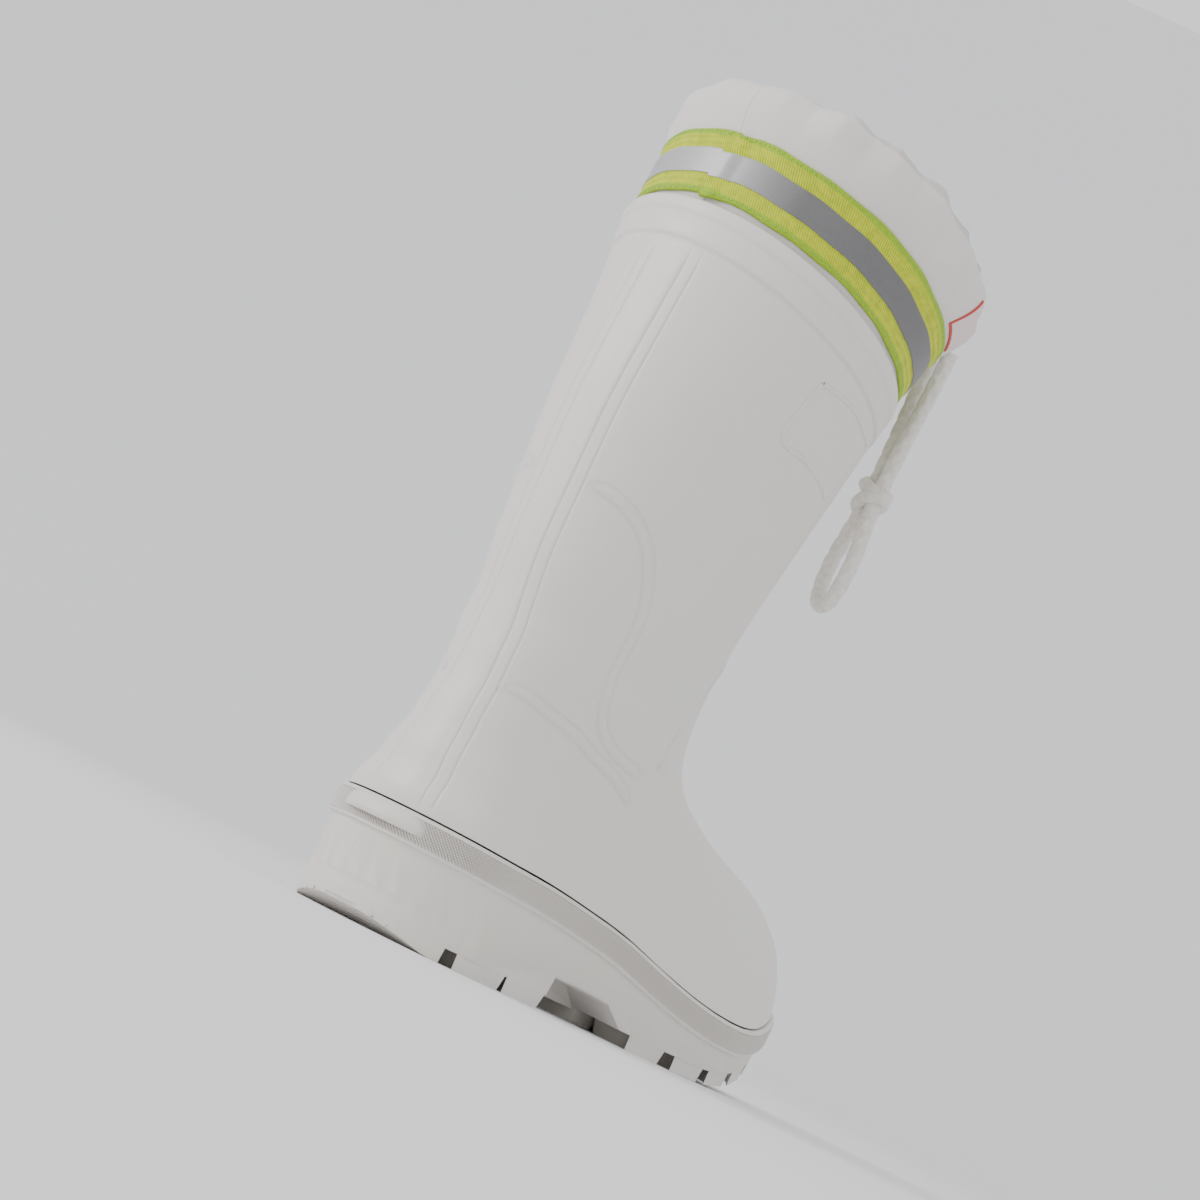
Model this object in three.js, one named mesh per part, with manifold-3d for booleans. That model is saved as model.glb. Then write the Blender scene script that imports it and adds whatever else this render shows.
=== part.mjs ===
// A short moulded work boot for the right foot, standing on its sole.
// Millimetres. +X points to the toe, +Y to the inner side of the foot, +Z up.
import * as THREE from "three";
import { mergeVertices } from "three/addons/utils/BufferGeometryUtils.js";
import Module from "manifold-3d";

const wasm = await Module();
wasm.setup();

// Driving sizes of the boot.
const LENGTH = 286; // outsole, heel back to toe tip
const BALL = 53.4; // half of the sole's width at the ball
const SHAFT = 273; // height of the rim at the back
const TOE_SPRING = 19.2; // height of the tread under the toe tip
const SPRING_START = 0.649; // where the spring begins, as a share of LENGTH
const HEEL_BEVEL = 0.275; // slope of the heel's rear edge
const BEVEL_END = 0.062; // where that slope meets the ground
const TREAD = 5.5; // depth of the main lugs
const RIB_PITCH = 3.05;
const RIB_GAP = 1.3;
const RIB_DEPTH = 1.1;
const DRAFT = 1.6; // how far a lug's foot stands out beyond its face
const BAND = 11; // height of the band round the sole
const BAND_OUT = 1.3; // how far the band stands out
const RIM_WALL = 3.2; // wall of the cup that holds the upper
const WALL = 2.4; // wall of the upper
const FIT = 0.3; // gap between pieces that meet
const INSOLE = 3.5;
const CUFF = 52; // height of the fabric cuff above the rim
const CLOTH = 1.5;
const TAPE = 25; // width of the coloured tape
const STRIPE = 10; // width of the reflective stripe on it
const CORD = 6; // diameter of the drawcord

const AROUND = 56; // points in each ring of the sole and the upper

// Outline of the sole. along: share of LENGTH. middle and swell: shares of BALL.
const OUTLINE = [
  { along: 0, middle: 0, swell: 1.273 },
  { along: 0.05, middle: 0.002, swell: 1.225 },
  { along: 0.1, middle: 0.009, swell: 1.082 },
  { along: 0.15, middle: 0.019, swell: 0.944 },
  { along: 0.2, middle: 0.022, swell: 0.848 },
  { along: 0.3, middle: 0.019, swell: 0.736 },
  { along: 0.4, middle: 0.009, swell: 0.71 },
  { along: 0.5, middle: 0.041, swell: 0.796 },
  { along: 0.6, middle: 0.131, swell: 0.959 },
  { along: 0.7, middle: 0.169, swell: 1.073 },
  { along: 0.8, middle: 0.197, swell: 1.12 },
  { along: 0.85, middle: 0.213, swell: 1.133 },
  { along: 0.9, middle: 0.225, swell: 1.172 },
  { along: 0.95, middle: 0.234, swell: 1.255 },
  { along: 1, middle: 0.243, swell: 1.311 },
];

// Side of the sole in mm: top of the band, floor of the cup and underside of the body,
// the last two before the toe spring is added.
const SIDE = [
  { along: 0, bandTop: 41.5, cup: 26, body: 12 },
  { along: 0.1, bandTop: 40.5, cup: 26, body: 12 },
  { along: 0.2, bandTop: 40, cup: 25.5, body: 12 },
  { along: 0.3, bandTop: 38.5, cup: 24, body: 12 },
  { along: 0.4, bandTop: 36, cup: 21, body: 12 },
  { along: 0.5, bandTop: 31, cup: 17, body: 9.5 },
  { along: 0.6, bandTop: 27, cup: 14, body: 8.5 },
  { along: 0.7, bandTop: 25.5, cup: 13.5, body: 8.5 },
  { along: 0.8, bandTop: 27, cup: 13.5, body: 8.5 },
  { along: 0.9, bandTop: 32, cup: 13.5, body: 8.5 },
  { along: 1, bandTop: 41, cup: 13.5, body: 8.5 },
];

// Slices of the upper from the band (level 0) to the rim (level 1).
// backX and frontX: shares of LENGTH. backZ, frontZ and rise: shares of SHAFT.
// back, waist and front: swell of an oval slice. lean: shift to the inner side at the front.
// foot: how much of the sole's outline the slice keeps, narrowed by keep.
const SLICE_COLUMNS = [
  "level", "backX", "backZ", "frontX", "frontZ", "back", "waist", "front",
  "lean", "foot", "rise", "keep",
];
const SLICES = [
  [0, 0.002, 0.153, 0.998, 0.151, 1.124, 0.712, 1.236, 0.243, 1, 0.0025, 0.995],
  [0.071, 0.001, 0.176, 0.999, 0.176, 1.161, 0.693, 1.236, 0.243, 1, 0.024, 0.95],
  [0.143, 0.01, 0.209, 0.995, 0.205, 1.151, 0.65, 1.049, 0.234, 0.92, 0.051, 0.87],
  [0.214, 0.013, 0.242, 0.979, 0.238, 1.08, 0.587, 0.747, 0.225, 0.75, 0.081, 0.79],
  [0.286, 0.02, 0.275, 0.937, 0.264, 0.943, 0.501, 0.598, 0.206, 0.5, 0.103, 0.73],
  [0.357, 0.025, 0.308, 0.867, 0.282, 0.884, 0.466, 0.515, 0.187, 0.25, 0.125, 0.69],
  [0.429, 0.032, 0.341, 0.747, 0.297, 0.837, 0.472, 0.501, 0.15, 0.08, 0.14, 0.68],
  [0.5, 0.033, 0.374, 0.651, 0.311, 0.8, 0.521, 0.472, 0.103, 0, 0.15, 0.7],
  [0.571, 0.033, 0.41, 0.564, 0.333, 0.787, 0.598, 0.496, 0.066, 0, 0.15, 0.7],
  [0.643, 0.029, 0.454, 0.504, 0.374, 0.701, 0.611, 0.533, 0.028, 0, 0.15, 0.7],
  [0.714, 0.019, 0.516, 0.467, 0.443, 0.698, 0.664, 0.624, 0.009, 0, 0.15, 0.7],
  [0.786, 0.013, 0.608, 0.456, 0.538, 0.74, 0.741, 0.714, 0, 0, 0.15, 0.7],
  [0.857, 0.008, 0.725, 0.465, 0.652, 0.813, 0.829, 0.811, 0, 0, 0.15, 0.7],
  [0.929, 0.016, 0.861, 0.473, 0.769, 0.908, 0.927, 0.923, 0, 0, 0.15, 0.7],
  [1, 0.025, 0.996, 0.476, 0.883, 1.043, 1.043, 1.043, 0, 0, 0.15, 0.7],
].map((row) => Object.fromEntries(SLICE_COLUMNS.map((name, i) => [name, row[i]])));

// Side lugs. leg: back edge of the lug's leg, pitch: room for one lug, both shares of LENGTH.
// inner, notch: how far out the leg starts and the wings begin, as shares of the half width.
// reach: how far the front wing goes, as a share of the pitch.
const LUGS = [
  { leg: 0.128, pitch: 0.11, inner: 0.42, notch: 0.75, reach: 0.68 },
  { leg: 0.24, pitch: 0.11, inner: 0.42, notch: 0.75, reach: 0.54 },
  { leg: 0.524, pitch: 0.098, inner: 0.54, notch: 0.81, reach: 0.52 },
  { leg: 0.631, pitch: 0.098, inner: 0.58, notch: 0.82, reach: 0.48 },
  { leg: 0.727, pitch: 0.098, inner: 0.58, notch: 0.82, reach: 0.46 },
  { leg: 0.822, pitch: 0.098, inner: 0.52, notch: 0.8, reach: 0.42 },
];

// Outline of a lug's front and leg. ahead: share of its pitch. grade: 0 at the leg's inner end,
// 1 at the notch, 2 at the sole's edge. aheadFoot and outFoot: which way the draft goes.
const LUG_SHAPE = [
  { ahead: "reach", grade: 2, aheadFoot: 1, outFoot: 0 },
  { ahead: "reach", grade: 1, aheadFoot: 1, outFoot: -1 },
  { ahead: 0.33, grade: 1, aheadFoot: 1, outFoot: -1 },
  { ahead: 0.32, grade: 0, aheadFoot: 1, outFoot: -1 },
  { ahead: 0, grade: 0, aheadFoot: -1, outFoot: -1 },
  { ahead: 0.04, grade: 0.97, aheadFoot: -1, outFoot: -1 },
];

// Rear end of a lug: a slanted wing on the inner side, a hollow and a horn on the outer side.
const LUG_REAR_INNER = [
  { ahead: -0.44, grade: 1.25, aheadFoot: -1, outFoot: -1 },
  { ahead: -0.45, grade: 1.5, aheadFoot: -1, outFoot: 0 },
  { ahead: -0.18, grade: 2, aheadFoot: -0.5, outFoot: 0 },
];
const LUG_REAR_OUTER = [
  { ahead: 0.13, grade: 1.22, aheadFoot: -1, outFoot: -0.3 },
  { ahead: 0.1, grade: 1.48, aheadFoot: -1, outFoot: -0.3 },
  { ahead: -0.04, grade: 1.76, aheadFoot: -0.8, outFoot: -0.3 },
  { ahead: -0.24, grade: 2, aheadFoot: -0.3, outFoot: 0 },
];

// Low pads in the recesses between two legs. from, to: shares of LENGTH.
const LOW_PADS = [
  { from: 0.182, to: 0.217, inner: 0.4, outer: 0.64 },
  { from: 0.577, to: 0.609, inner: 0.52, outer: 0.73 },
  { from: 0.675, to: 0.708, inner: 0.52, outer: 0.74 },
  { from: 0.759, to: 0.792, inner: 0.5, outer: 0.72 },
];
const LOW_PAD_HEIGHT = 2.7;

// Ribbed blocks down the middle. from, to: shares of LENGTH. The rest: edges at the block's two
// ends as shares of the half width, inner side first.
const BLOCKS = [
  { from: 0.131, to: 0.184, innerBack: 0.2, innerFront: 0.2, outerBack: 0.28, outerFront: 0.28, ribs: 5 },
  { from: 0.219, to: 0.266, innerBack: 0.2, innerFront: 0.2, outerBack: 0.28, outerFront: 0.28, ribs: 5 },
  { from: 0.481, to: 0.533, innerBack: 0.24, innerFront: 0.35, outerBack: 0.44, outerFront: 0.45, ribs: 4 },
  { from: 0.558, to: 0.635, innerBack: 0.35, innerFront: 0.42, outerBack: 0.46, outerFront: 0.47, ribs: 7 },
  { from: 0.659, to: 0.733, innerBack: 0.42, innerFront: 0.42, outerBack: 0.47, outerFront: 0.46, ribs: 7 },
  { from: 0.757, to: 0.827, innerBack: 0.4, innerFront: 0.36, outerBack: 0.44, outerFront: 0.4, ribs: 7 },
  { from: 0.846, to: 0.886, innerBack: 0.34, innerFront: 0.32, outerBack: 0.38, outerFront: 0.34, ribs: 3 },
];

const HEEL_PAD = { end: 0.079, ribs: 7, firstRib: 0.0045 };
const HEEL_TONGUE = { end: 0.094, half: 19, ribs: 2 };
const HEEL_RIB_PITCH = 2.78;
const HEEL_SLAB_END = 0.308;
const FORE_SLAB = { start: 0.474, ramp: 0.42 };
const TOE_PAD = { start: 0.898, ribs: 8, firstRib: 0.908 };
const SHANK = { from: 0.27, to: 0.49, inner: 0.26, outer: 0.43, height: 4.6 };
const KICK = { half: 19, out: 3.4, top: 0.8, depth: 7 };

// Lines that stand out on the upper, as rows of turn (0 front, 0.25 inner side, 0.5 back,
// 0.75 outer side) and level. Each also runs mirrored unless once is set.
const RAISED = [
  {
    width: 4, height: 0.7, path: [
      [0.533, 0.04], [0.534, 0.15], [0.535, 0.3], [0.535, 0.45], [0.536, 0.6], [0.535, 0.7],
      [0.534, 0.8], [0.532, 0.9], [0.53, 0.965],
    ],
  },
  {
    width: 2.2, height: 0.7, path: [
      [0.547, 0.787], [0.578, 0.79], [0.613, 0.785], [0.642, 0.772], [0.66, 0.753], [0.675, 0.72],
      [0.676, 0.672], [0.662, 0.585], [0.662, 0.503], [0.675, 0.46], [0.7, 0.445], [0.724, 0.447],
    ],
  },
  {
    width: 2.2, height: 0.7, path: [
      [0.542, 0.427], [0.567, 0.443], [0.59, 0.438], [0.614, 0.432], [0.64, 0.422], [0.66, 0.405],
      [0.685, 0.39], [0.704, 0.35],
    ],
  },
  {
    width: 2.2, height: 0.6, path: [
      [0.754, 0.505], [0.79, 0.6], [0.826, 0.672], [0.865, 0.74], [0.93, 0.78], [0.999, 0.79],
    ],
  },
  {
    width: 1.6, height: 0.6, once: true, path: [
      [0.707, 0.948], [0.703, 0.907], [0.718, 0.9], [0.746, 0.904], [0.797, 0.906], [0.825, 0.907],
      [0.832, 0.93], [0.835, 0.958], [0.803, 0.958], [0.76, 0.957], [0.708, 0.949],
    ],
  },
];
const RIM_BAND = { from: 0.972, out: 0.6 };

// Profile of the cuff above the rim plane. up: share of CUFF. wide: share of the rim's size.
const CUFF_PROFILE = [
  { up: -0.16, wide: 0.9 },
  { up: 0, wide: 0.93 },
  { up: 0.025, wide: 0.95 },
  { up: 0.06, wide: 0.966 },
  { up: 0.3, wide: 0.985 },
  { up: 0.54, wide: 1.015 },
  { up: 0.72, wide: 1.075 },
  { up: 0.85, wide: 1.08 },
  { up: 0.95, wide: 1.03 },
  { up: 1, wide: 0.93 },
  { up: 0.985, wide: 0.86 },
];
const TAPE_FOOT = 0.06; // lower edge of the tape, as a share of CUFF
const LABEL = { from: 0.795, to: 0.85, low: 0.58, high: 0.82 };

// Centre line of the drawcord from its way out of the cuff, down to the knot and round the loop,
// in mm from its way out near the cuff's front. The second strand is its mirror image.
const CORD_TURN = 0.92; // place of the way out round the cuff
const CORD_OUT = 0.8; // height of the way out, as a share of CUFF
const STRAND = [
  { ahead: 3.2, aside: 7, down: 0 },
  { ahead: 3.6, aside: 6.4, down: 6 },
  { ahead: 3.8, aside: 5.2, down: 20 },
  { ahead: 3.8, aside: 4, down: 36 },
  { ahead: 3.8, aside: 3.3, down: 50 },
  { ahead: 3.8, aside: 3.2, down: 64 },
  { ahead: 3.8, aside: 5.5, down: 74 },
  { ahead: 3.8, aside: 7.8, down: 87 },
  { ahead: 3.8, aside: 6.8, down: 98 },
  { ahead: 3.8, aside: 3, down: 104 },
];
const KNOT = { ahead: 3.8, down: 60, halfAcross: 8.5, halfDeep: 5.5, halfTall: 7 };

// Smooth curve through one column of a table, by its first column.
function column(table, key, name) {
  const at = table.map((row) => row[key]);
  const value = table.map((row) => row[name]);
  const last = at.length - 1;
  const slope = value.map((_, i) => {
    const a = Math.max(i - 1, 0);
    const b = Math.min(i + 1, last);
    return (value[b] - value[a]) / (at[b] - at[a]);
  });
  return (x) => {
    const p = Math.min(Math.max(x, at[0]), at[last]);
    let i = 0;
    while (i < last - 1 && p > at[i + 1]) i += 1;
    const step = at[i + 1] - at[i];
    const s = (p - at[i]) / step;
    const s2 = s * s;
    const s3 = s2 * s;
    return (
      (2 * s3 - 3 * s2 + 1) * value[i] +
      (s3 - 2 * s2 + s) * step * slope[i] +
      (3 * s2 - 2 * s3) * value[i + 1] +
      (s3 - s2) * step * slope[i + 1]
    );
  };
}

const middle = column(OUTLINE, "along", "middle");
const swell = column(OUTLINE, "along", "swell");
const bandTop = column(SIDE, "along", "bandTop");
const cupFloor = column(SIDE, "along", "cup");
const bodyFloor = column(SIDE, "along", "body");
const slice = {};
for (const name of Object.keys(SLICES[0])) slice[name] = column(SLICES, "level", name);

const share = (x) => x / LENGTH;
const halfWidth = (along) => 2 * Math.sqrt(Math.max(along * (1 - along), 0)) * swell(along) * BALL;

function spring(x) {
  const past = Math.max(share(x) - SPRING_START, 0) / (1 - SPRING_START);
  return TOE_SPRING * past * past;
}

function ground(x) {
  return spring(x) + Math.max(BEVEL_END * LENGTH - x, 0) * HEEL_BEVEL;
}

// Point of the sole's outline. turn runs from 0 at the toe over the inner side to 0.5 at the heel.
function outlinePoint(turn, out = 0) {
  const place = (k) => {
    const a = k * 2 * Math.PI;
    const along = (1 + Math.cos(a)) / 2;
    return [along * LENGTH, (middle(along) + Math.sin(a) * swell(along)) * BALL];
  };
  const step = 1e-4;
  const [x, y] = place(turn);
  const [xa, ya] = place(turn - step);
  const [xb, yb] = place(turn + step);
  const size = Math.hypot(xb - xa, yb - ya);
  return [x + (out * (yb - ya)) / size, y - (out * (xb - xa)) / size];
}

// Point on the tread plan: share of the length and share of the half width, inner side positive.
function planPoint(along, across) {
  return [along * LENGTH, middle(along) * BALL + across * halfWidth(along)];
}

// Turns of a ring of count points between two shares of the length, in pairs across the foot.
// At the tip of the toe or heel the first pair stands half a step off the tip.
function turnsBetween(from, to, count) {
  const angle = (along) => Math.acos(2 * along - 1) / (2 * Math.PI);
  const offToe = to === 1 ? 0.5 : 0;
  const offHeel = from === 0 ? 0.5 : 0;
  const step = (angle(from) - angle(to)) / (count / 2 - 1 + offToe + offHeel);
  const inner = Array.from({ length: count / 2 }, (_, i) => angle(to) + step * (i + offToe));
  return [...inner, ...inner.map((turn) => 1 - turn).reverse()];
}

function outlineRing(turns, out, height) {
  return turns.map((turn) => {
    const [x, y] = outlinePoint(turn, out);
    return [x, y, height(x)];
  });
}

// Point on the outer face of the upper.
function skin(level, turn) {
  const a = turn * 2 * Math.PI;
  const t = (1 + Math.cos(a)) / 2;
  const row = (name) => slice[name](level);
  const foot = Math.min(Math.max(row("foot"), 0), 1);
  const oval = row("back") * (1 - t) ** 2 + 2 * row("waist") * t * (1 - t) + row("front") * t * t;
  const wide = foot * swell(t) * row("keep") + (1 - foot) * oval;
  const centre = foot * middle(t) + (1 - foot) * row("lean") * t;
  const oblique = (row("backZ") * (1 - t) + row("frontZ") * t) * SHAFT;
  return new THREE.Vector3(
    (row("backX") * (1 - t) + row("frontX") * t) * LENGTH,
    (centre + Math.sin(a) * wide) * BALL,
    foot * (bandTop(t) + row("rise") * SHAFT) + (1 - foot) * oblique,
  );
}

function skinNormal(level, turn) {
  const step = 2e-3;
  const low = Math.max(level - step, 0);
  const high = Math.min(level + step, 1);
  const along = skin(high, turn).sub(skin(low, turn));
  const round = skin(level, turn + step).sub(skin(level, turn - step));
  return round.cross(along).normalize();
}

function skinPoint(level, turn, out) {
  return skin(level, turn).addScaledVector(skinNormal(level, turn), out).toArray();
}

// A closed surface from points and triangles, turned to face out.
function meshOf(points, faces) {
  const a = new THREE.Vector3();
  const b = new THREE.Vector3();
  const c = new THREE.Vector3();
  let volume = 0;
  for (const [i, j, k] of faces) {
    volume += a.fromArray(points[i]).dot(b.fromArray(points[j]).cross(c.fromArray(points[k])));
  }
  const index = volume > 0 ? faces.flat() : faces.map(([i, j, k]) => [i, k, j]).flat();
  const geometry = new THREE.BufferGeometry();
  geometry.setAttribute("position", new THREE.Float32BufferAttribute(points.flat(), 3));
  geometry.setIndex(index);
  return geometry;
}

// Rings of equal length, joined in order. Open stacks get a ladder across each end ring.
function ringSolid(rings, endless = false) {
  const count = rings[0].length;
  const faces = [];
  const quad = (a, b, c, d) => faces.push([a, b, c], [a, c, d]);
  const pairs = endless ? rings.length : rings.length - 1;
  for (let r = 0; r < pairs; r += 1) {
    const low = r * count;
    const high = ((r + 1) % rings.length) * count;
    for (let i = 0; i < count; i += 1) {
      const next = (i + 1) % count;
      quad(low + i, low + next, high + next, high + i);
    }
  }
  if (!endless) {
    const top = (rings.length - 1) * count;
    for (let i = 0; i < count / 2 - 1; i += 1) {
      const far = count - 1 - i;
      quad(i, far, far - 1, i + 1);
      quad(top + i, top + i + 1, top + far - 1, top + far);
    }
  }
  return meshOf(rings.flat(), faces);
}

// A solid between two outlines with the same number of corners.
function prism(face, foot) {
  const count = face.length;
  const flat = face.map(([x, y]) => new THREE.Vector2(x, y));
  const faces = [];
  for (const [a, b, c] of THREE.ShapeUtils.triangulateShape(flat, [])) {
    faces.push([a, b, c], [count + a, count + c, count + b]);
  }
  const turnsLeft = THREE.ShapeUtils.area(flat) > 0;
  for (let i = 0; i < count; i += 1) {
    const next = (i + 1) % count;
    const side = turnsLeft ? [next, i] : [i, next];
    faces.push([side[0], side[1], count + side[1]], [side[0], count + side[1], count + side[0]]);
  }
  return meshOf([...face, ...foot], faces);
}

function toSolid(geometry) {
  const plain = geometry.clone();
  plain.deleteAttribute("normal");
  plain.deleteAttribute("uv");
  const merged = mergeVertices(plain, 1e-4);
  return new wasm.Manifold(
    new wasm.Mesh({
      numProp: 3,
      vertProperties: merged.attributes.position.array,
      triVerts: new Uint32Array(merged.index.array),
    }),
  );
}

function toGeometry(solid) {
  const { vertProperties, triVerts } = solid.getMesh();
  const geometry = new THREE.BufferGeometry();
  geometry.setAttribute("position", new THREE.Float32BufferAttribute(vertProperties, 3));
  geometry.setIndex(Array.from(triVerts));
  return geometry;
}

function joined(body, additions, cuts = []) {
  let solid = toSolid(body);
  for (const addition of additions) solid = solid.add(toSolid(addition));
  for (const cut of cuts) solid = solid.subtract(toSolid(cut));
  return toGeometry(solid);
}

// Outsole: a cup with a band round it, two slabs below, lugs, ribbed blocks and a kick ledge.
const fullRing = turnsBetween(0, 1, AROUND);
const bodyLow = (x) => bodyFloor(share(x)) + spring(x);
const cupLow = (x) => cupFloor(share(x)) + spring(x);
const top = (x) => bandTop(share(x));

function soleBody() {
  return ringSolid([
    outlineRing(fullRing, -3, bodyLow),
    outlineRing(fullRing, -0.7, (x) => bodyLow(x) + 0.6),
    outlineRing(fullRing, 0, (x) => bodyLow(x) + 1.8),
    outlineRing(fullRing, 0, (x) => top(x) - BAND),
    outlineRing(fullRing, BAND_OUT, (x) => top(x) - BAND + 0.5),
    outlineRing(fullRing, BAND_OUT, (x) => top(x) - 0.5),
    outlineRing(fullRing, BAND_OUT - 0.5, top),
    outlineRing(fullRing, -RIM_WALL, top),
    outlineRing(fullRing, -RIM_WALL, cupLow),
  ]);
}

function slab(from, to, deepFrom, deepTo) {
  const low = turnsBetween(from, to, 40);
  const high = turnsBetween(deepFrom, deepTo, 40);
  return ringSolid([
    outlineRing(low, -0.6, (x) => ground(x) + TREAD),
    outlineRing(high, -0.15, (x) => bodyLow(x) + 2.2),
  ]);
}

function tread(points, height, foot) {
  return prism(
    points.map(([x, y]) => [x, y, height(x)]),
    foot.map(([x, y]) => [x, y, ground(x) + TREAD + 1]),
  );
}

function sideLug(lug, side) {
  const grade = (g) => {
    if (g < 1) return lug.inner + (lug.notch - lug.inner) * g;
    return lug.notch + (0.985 - lug.notch) * (g - 1);
  };
  const face = [];
  const foot = [];
  for (const row of [...LUG_SHAPE, ...(side > 0 ? LUG_REAR_INNER : LUG_REAR_OUTER)]) {
    const ahead = row.ahead === "reach" ? lug.reach : row.ahead;
    const along = lug.leg + ahead * lug.pitch;
    const across = side * grade(row.grade);
    face.push(planPoint(along, across));
    const reach = along + share(row.aheadFoot * DRAFT);
    const outward = across + (side * row.outFoot * DRAFT) / halfWidth(along);
    foot.push(planPoint(reach, outward));
  }
  return tread(face, ground, foot);
}

function quadPad(pad, height, draft) {
  const corners = (grow) => {
    const wide = (along) => grow / halfWidth(along);
    const from = pad.from - share(grow);
    const to = pad.to + share(grow);
    return [
      planPoint(from, pad.innerBack + wide(from)),
      planPoint(from, -pad.outerBack - wide(from)),
      planPoint(to, -pad.outerFront - wide(to)),
      planPoint(to, pad.innerFront + wide(to)),
    ];
  };
  return tread(corners(0), height, corners(draft));
}

function evenPad(from, to, inner, outer) {
  return { from, to, innerBack: inner, innerFront: inner, outerBack: outer, outerFront: outer };
}

function lowPad(pad, side) {
  const edges = side > 0 ? [pad.outer, -pad.inner] : [-pad.inner, pad.outer];
  const [inner, outer] = edges;
  const height = (x) => ground(x) + LOW_PAD_HEIGHT;
  return quadPad(evenPad(pad.from, pad.to, inner, outer), height, DRAFT);
}

// A groove across the foot at x, between two places along Y.
function groove(x, low, high) {
  const z = ground(x);
  const corners = (half, height) => [
    [x - half, low, height],
    [x + half, low, height],
    [x + half, high, height],
    [x - half, high, height],
  ];
  return prism(corners(RIB_GAP / 2 + 0.2, z - 1), corners(RIB_GAP / 2 - 0.25, z + RIB_DEPTH));
}

function blockGrooves(block) {
  const span = (block.to - block.from) * LENGTH;
  const pitch = Math.min(RIB_PITCH, span / (block.ribs + 0.3));
  return Array.from({ length: block.ribs }, (_, i) => {
    const x = block.from * LENGTH + span / 2 + (i - (block.ribs - 1) / 2) * pitch;
    const t = (x / LENGTH - block.from) / (block.to - block.from);
    const inner = block.innerBack + (block.innerFront - block.innerBack) * t;
    const outer = block.outerBack + (block.outerFront - block.outerBack) * t;
    return groove(x, planPoint(share(x), -outer)[1] - 1, planPoint(share(x), inner)[1] + 1);
  });
}

function outlineGrooves(first, count, pitch, margin) {
  return Array.from({ length: count }, (_, i) => {
    const x = first * LENGTH + i * pitch;
    const [, high] = planPoint(share(x), 1);
    const [, low] = planPoint(share(x), -1);
    return groove(x, low + margin, high - margin);
  });
}

function heelPad() {
  const turns = turnsBetween(0, HEEL_PAD.end, 24);
  return ringSolid([
    outlineRing(turns, -0.9, ground),
    outlineRing(turns, -0.45, (x) => ground(x) + TREAD + 1),
  ]);
}

function heelTongue() {
  const from = share(BEVEL_END * LENGTH + 0.5);
  const across = HEEL_TONGUE.half / halfWidth(HEEL_PAD.end);
  return quadPad(evenPad(from, HEEL_TONGUE.end, across, across), ground, DRAFT);
}

function toePad() {
  const turns = turnsBetween(TOE_PAD.start, 1, 32);
  return ringSolid([
    outlineRing(turns, -0.9, ground),
    outlineRing(turns, -0.45, (x) => ground(x) + TREAD + 1),
  ]);
}

function shank() {
  const strip = evenPad(SHANK.from, SHANK.to, SHANK.inner, SHANK.outer);
  const corners = (grow) => [
    planPoint(strip.from, strip.innerBack + grow),
    planPoint(strip.from, -strip.outerBack - grow),
    planPoint(strip.to, -strip.outerFront - grow),
    planPoint(strip.to, strip.innerFront + grow),
  ];
  return prism(
    corners(0).map(([x, y]) => [x, y, SHANK.height]),
    corners(0.05).map(([x, y]) => [x, y, SIDE[0].body + 2]),
  );
}

function kickLedge() {
  const count = 15;
  const ys = Array.from({ length: count }, (_, i) => KICK.half * (1 - (2 * i) / (count - 1)));
  const level = (drop, part) => {
    const edge = (out) => (y) => {
      const turn = 0.5 - Math.asin(y / (BALL * swell(0.01))) / (2 * Math.PI);
      const [x, yy] = outlinePoint(turn, out(y));
      return [x, yy, top(x) - drop];
    };
    const bulge = (y) => BAND_OUT - 0.4 + part * KICK.out * (1 - (y / KICK.half) ** 2);
    return [...ys.map(edge(bulge)), ...[...ys].reverse().map(edge(() => -2))];
  };
  return ringSolid([
    level(KICK.depth, 0.75),
    level(KICK.depth - 1.6, 1),
    level(KICK.top + 1.8, 0.75),
    level(KICK.top, 0.2),
  ]);
}

function outsole() {
  const additions = [
    slab(0, HEEL_SLAB_END, 0, HEEL_SLAB_END),
    slab(FORE_SLAB.start, 1, FORE_SLAB.ramp, 1),
    shank(),
    heelPad(),
    heelTongue(),
    toePad(),
    kickLedge(),
  ];
  for (const lug of LUGS) additions.push(sideLug(lug, 1), sideLug(lug, -1));
  for (const pad of LOW_PADS) additions.push(lowPad(pad, 1), lowPad(pad, -1));
  for (const block of BLOCKS) additions.push(quadPad(block, ground, DRAFT));
  const tongueFirst = HEEL_PAD.firstRib + share(HEEL_PAD.ribs * HEEL_RIB_PITCH);
  const cuts = [
    ...outlineGrooves(HEEL_PAD.firstRib, HEEL_PAD.ribs, HEEL_RIB_PITCH, 2),
    ...outlineGrooves(TOE_PAD.firstRib, TOE_PAD.ribs, RIB_PITCH, 2),
    ...BLOCKS.flatMap(blockGrooves),
  ];
  for (let i = 0; i < HEEL_TONGUE.ribs; i += 1) {
    const x = tongueFirst * LENGTH + i * HEEL_RIB_PITCH;
    cuts.push(groove(x, 1 - HEEL_TONGUE.half, HEEL_TONGUE.half - 1));
  }
  return joined(soleBody(), additions, cuts);
}

// Upper: one hollow wall from the floor of the cup to the rim.
const ringTurns = Array.from({ length: AROUND }, (_, i) => (i + 0.5) / AROUND);
const UPPER_OUT = -(RIM_WALL + FIT);
const UPPER_IN = UPPER_OUT - 2.5;

function skinRing(level, out) {
  return ringTurns.map((turn) => skinPoint(level, turn, out));
}

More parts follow.
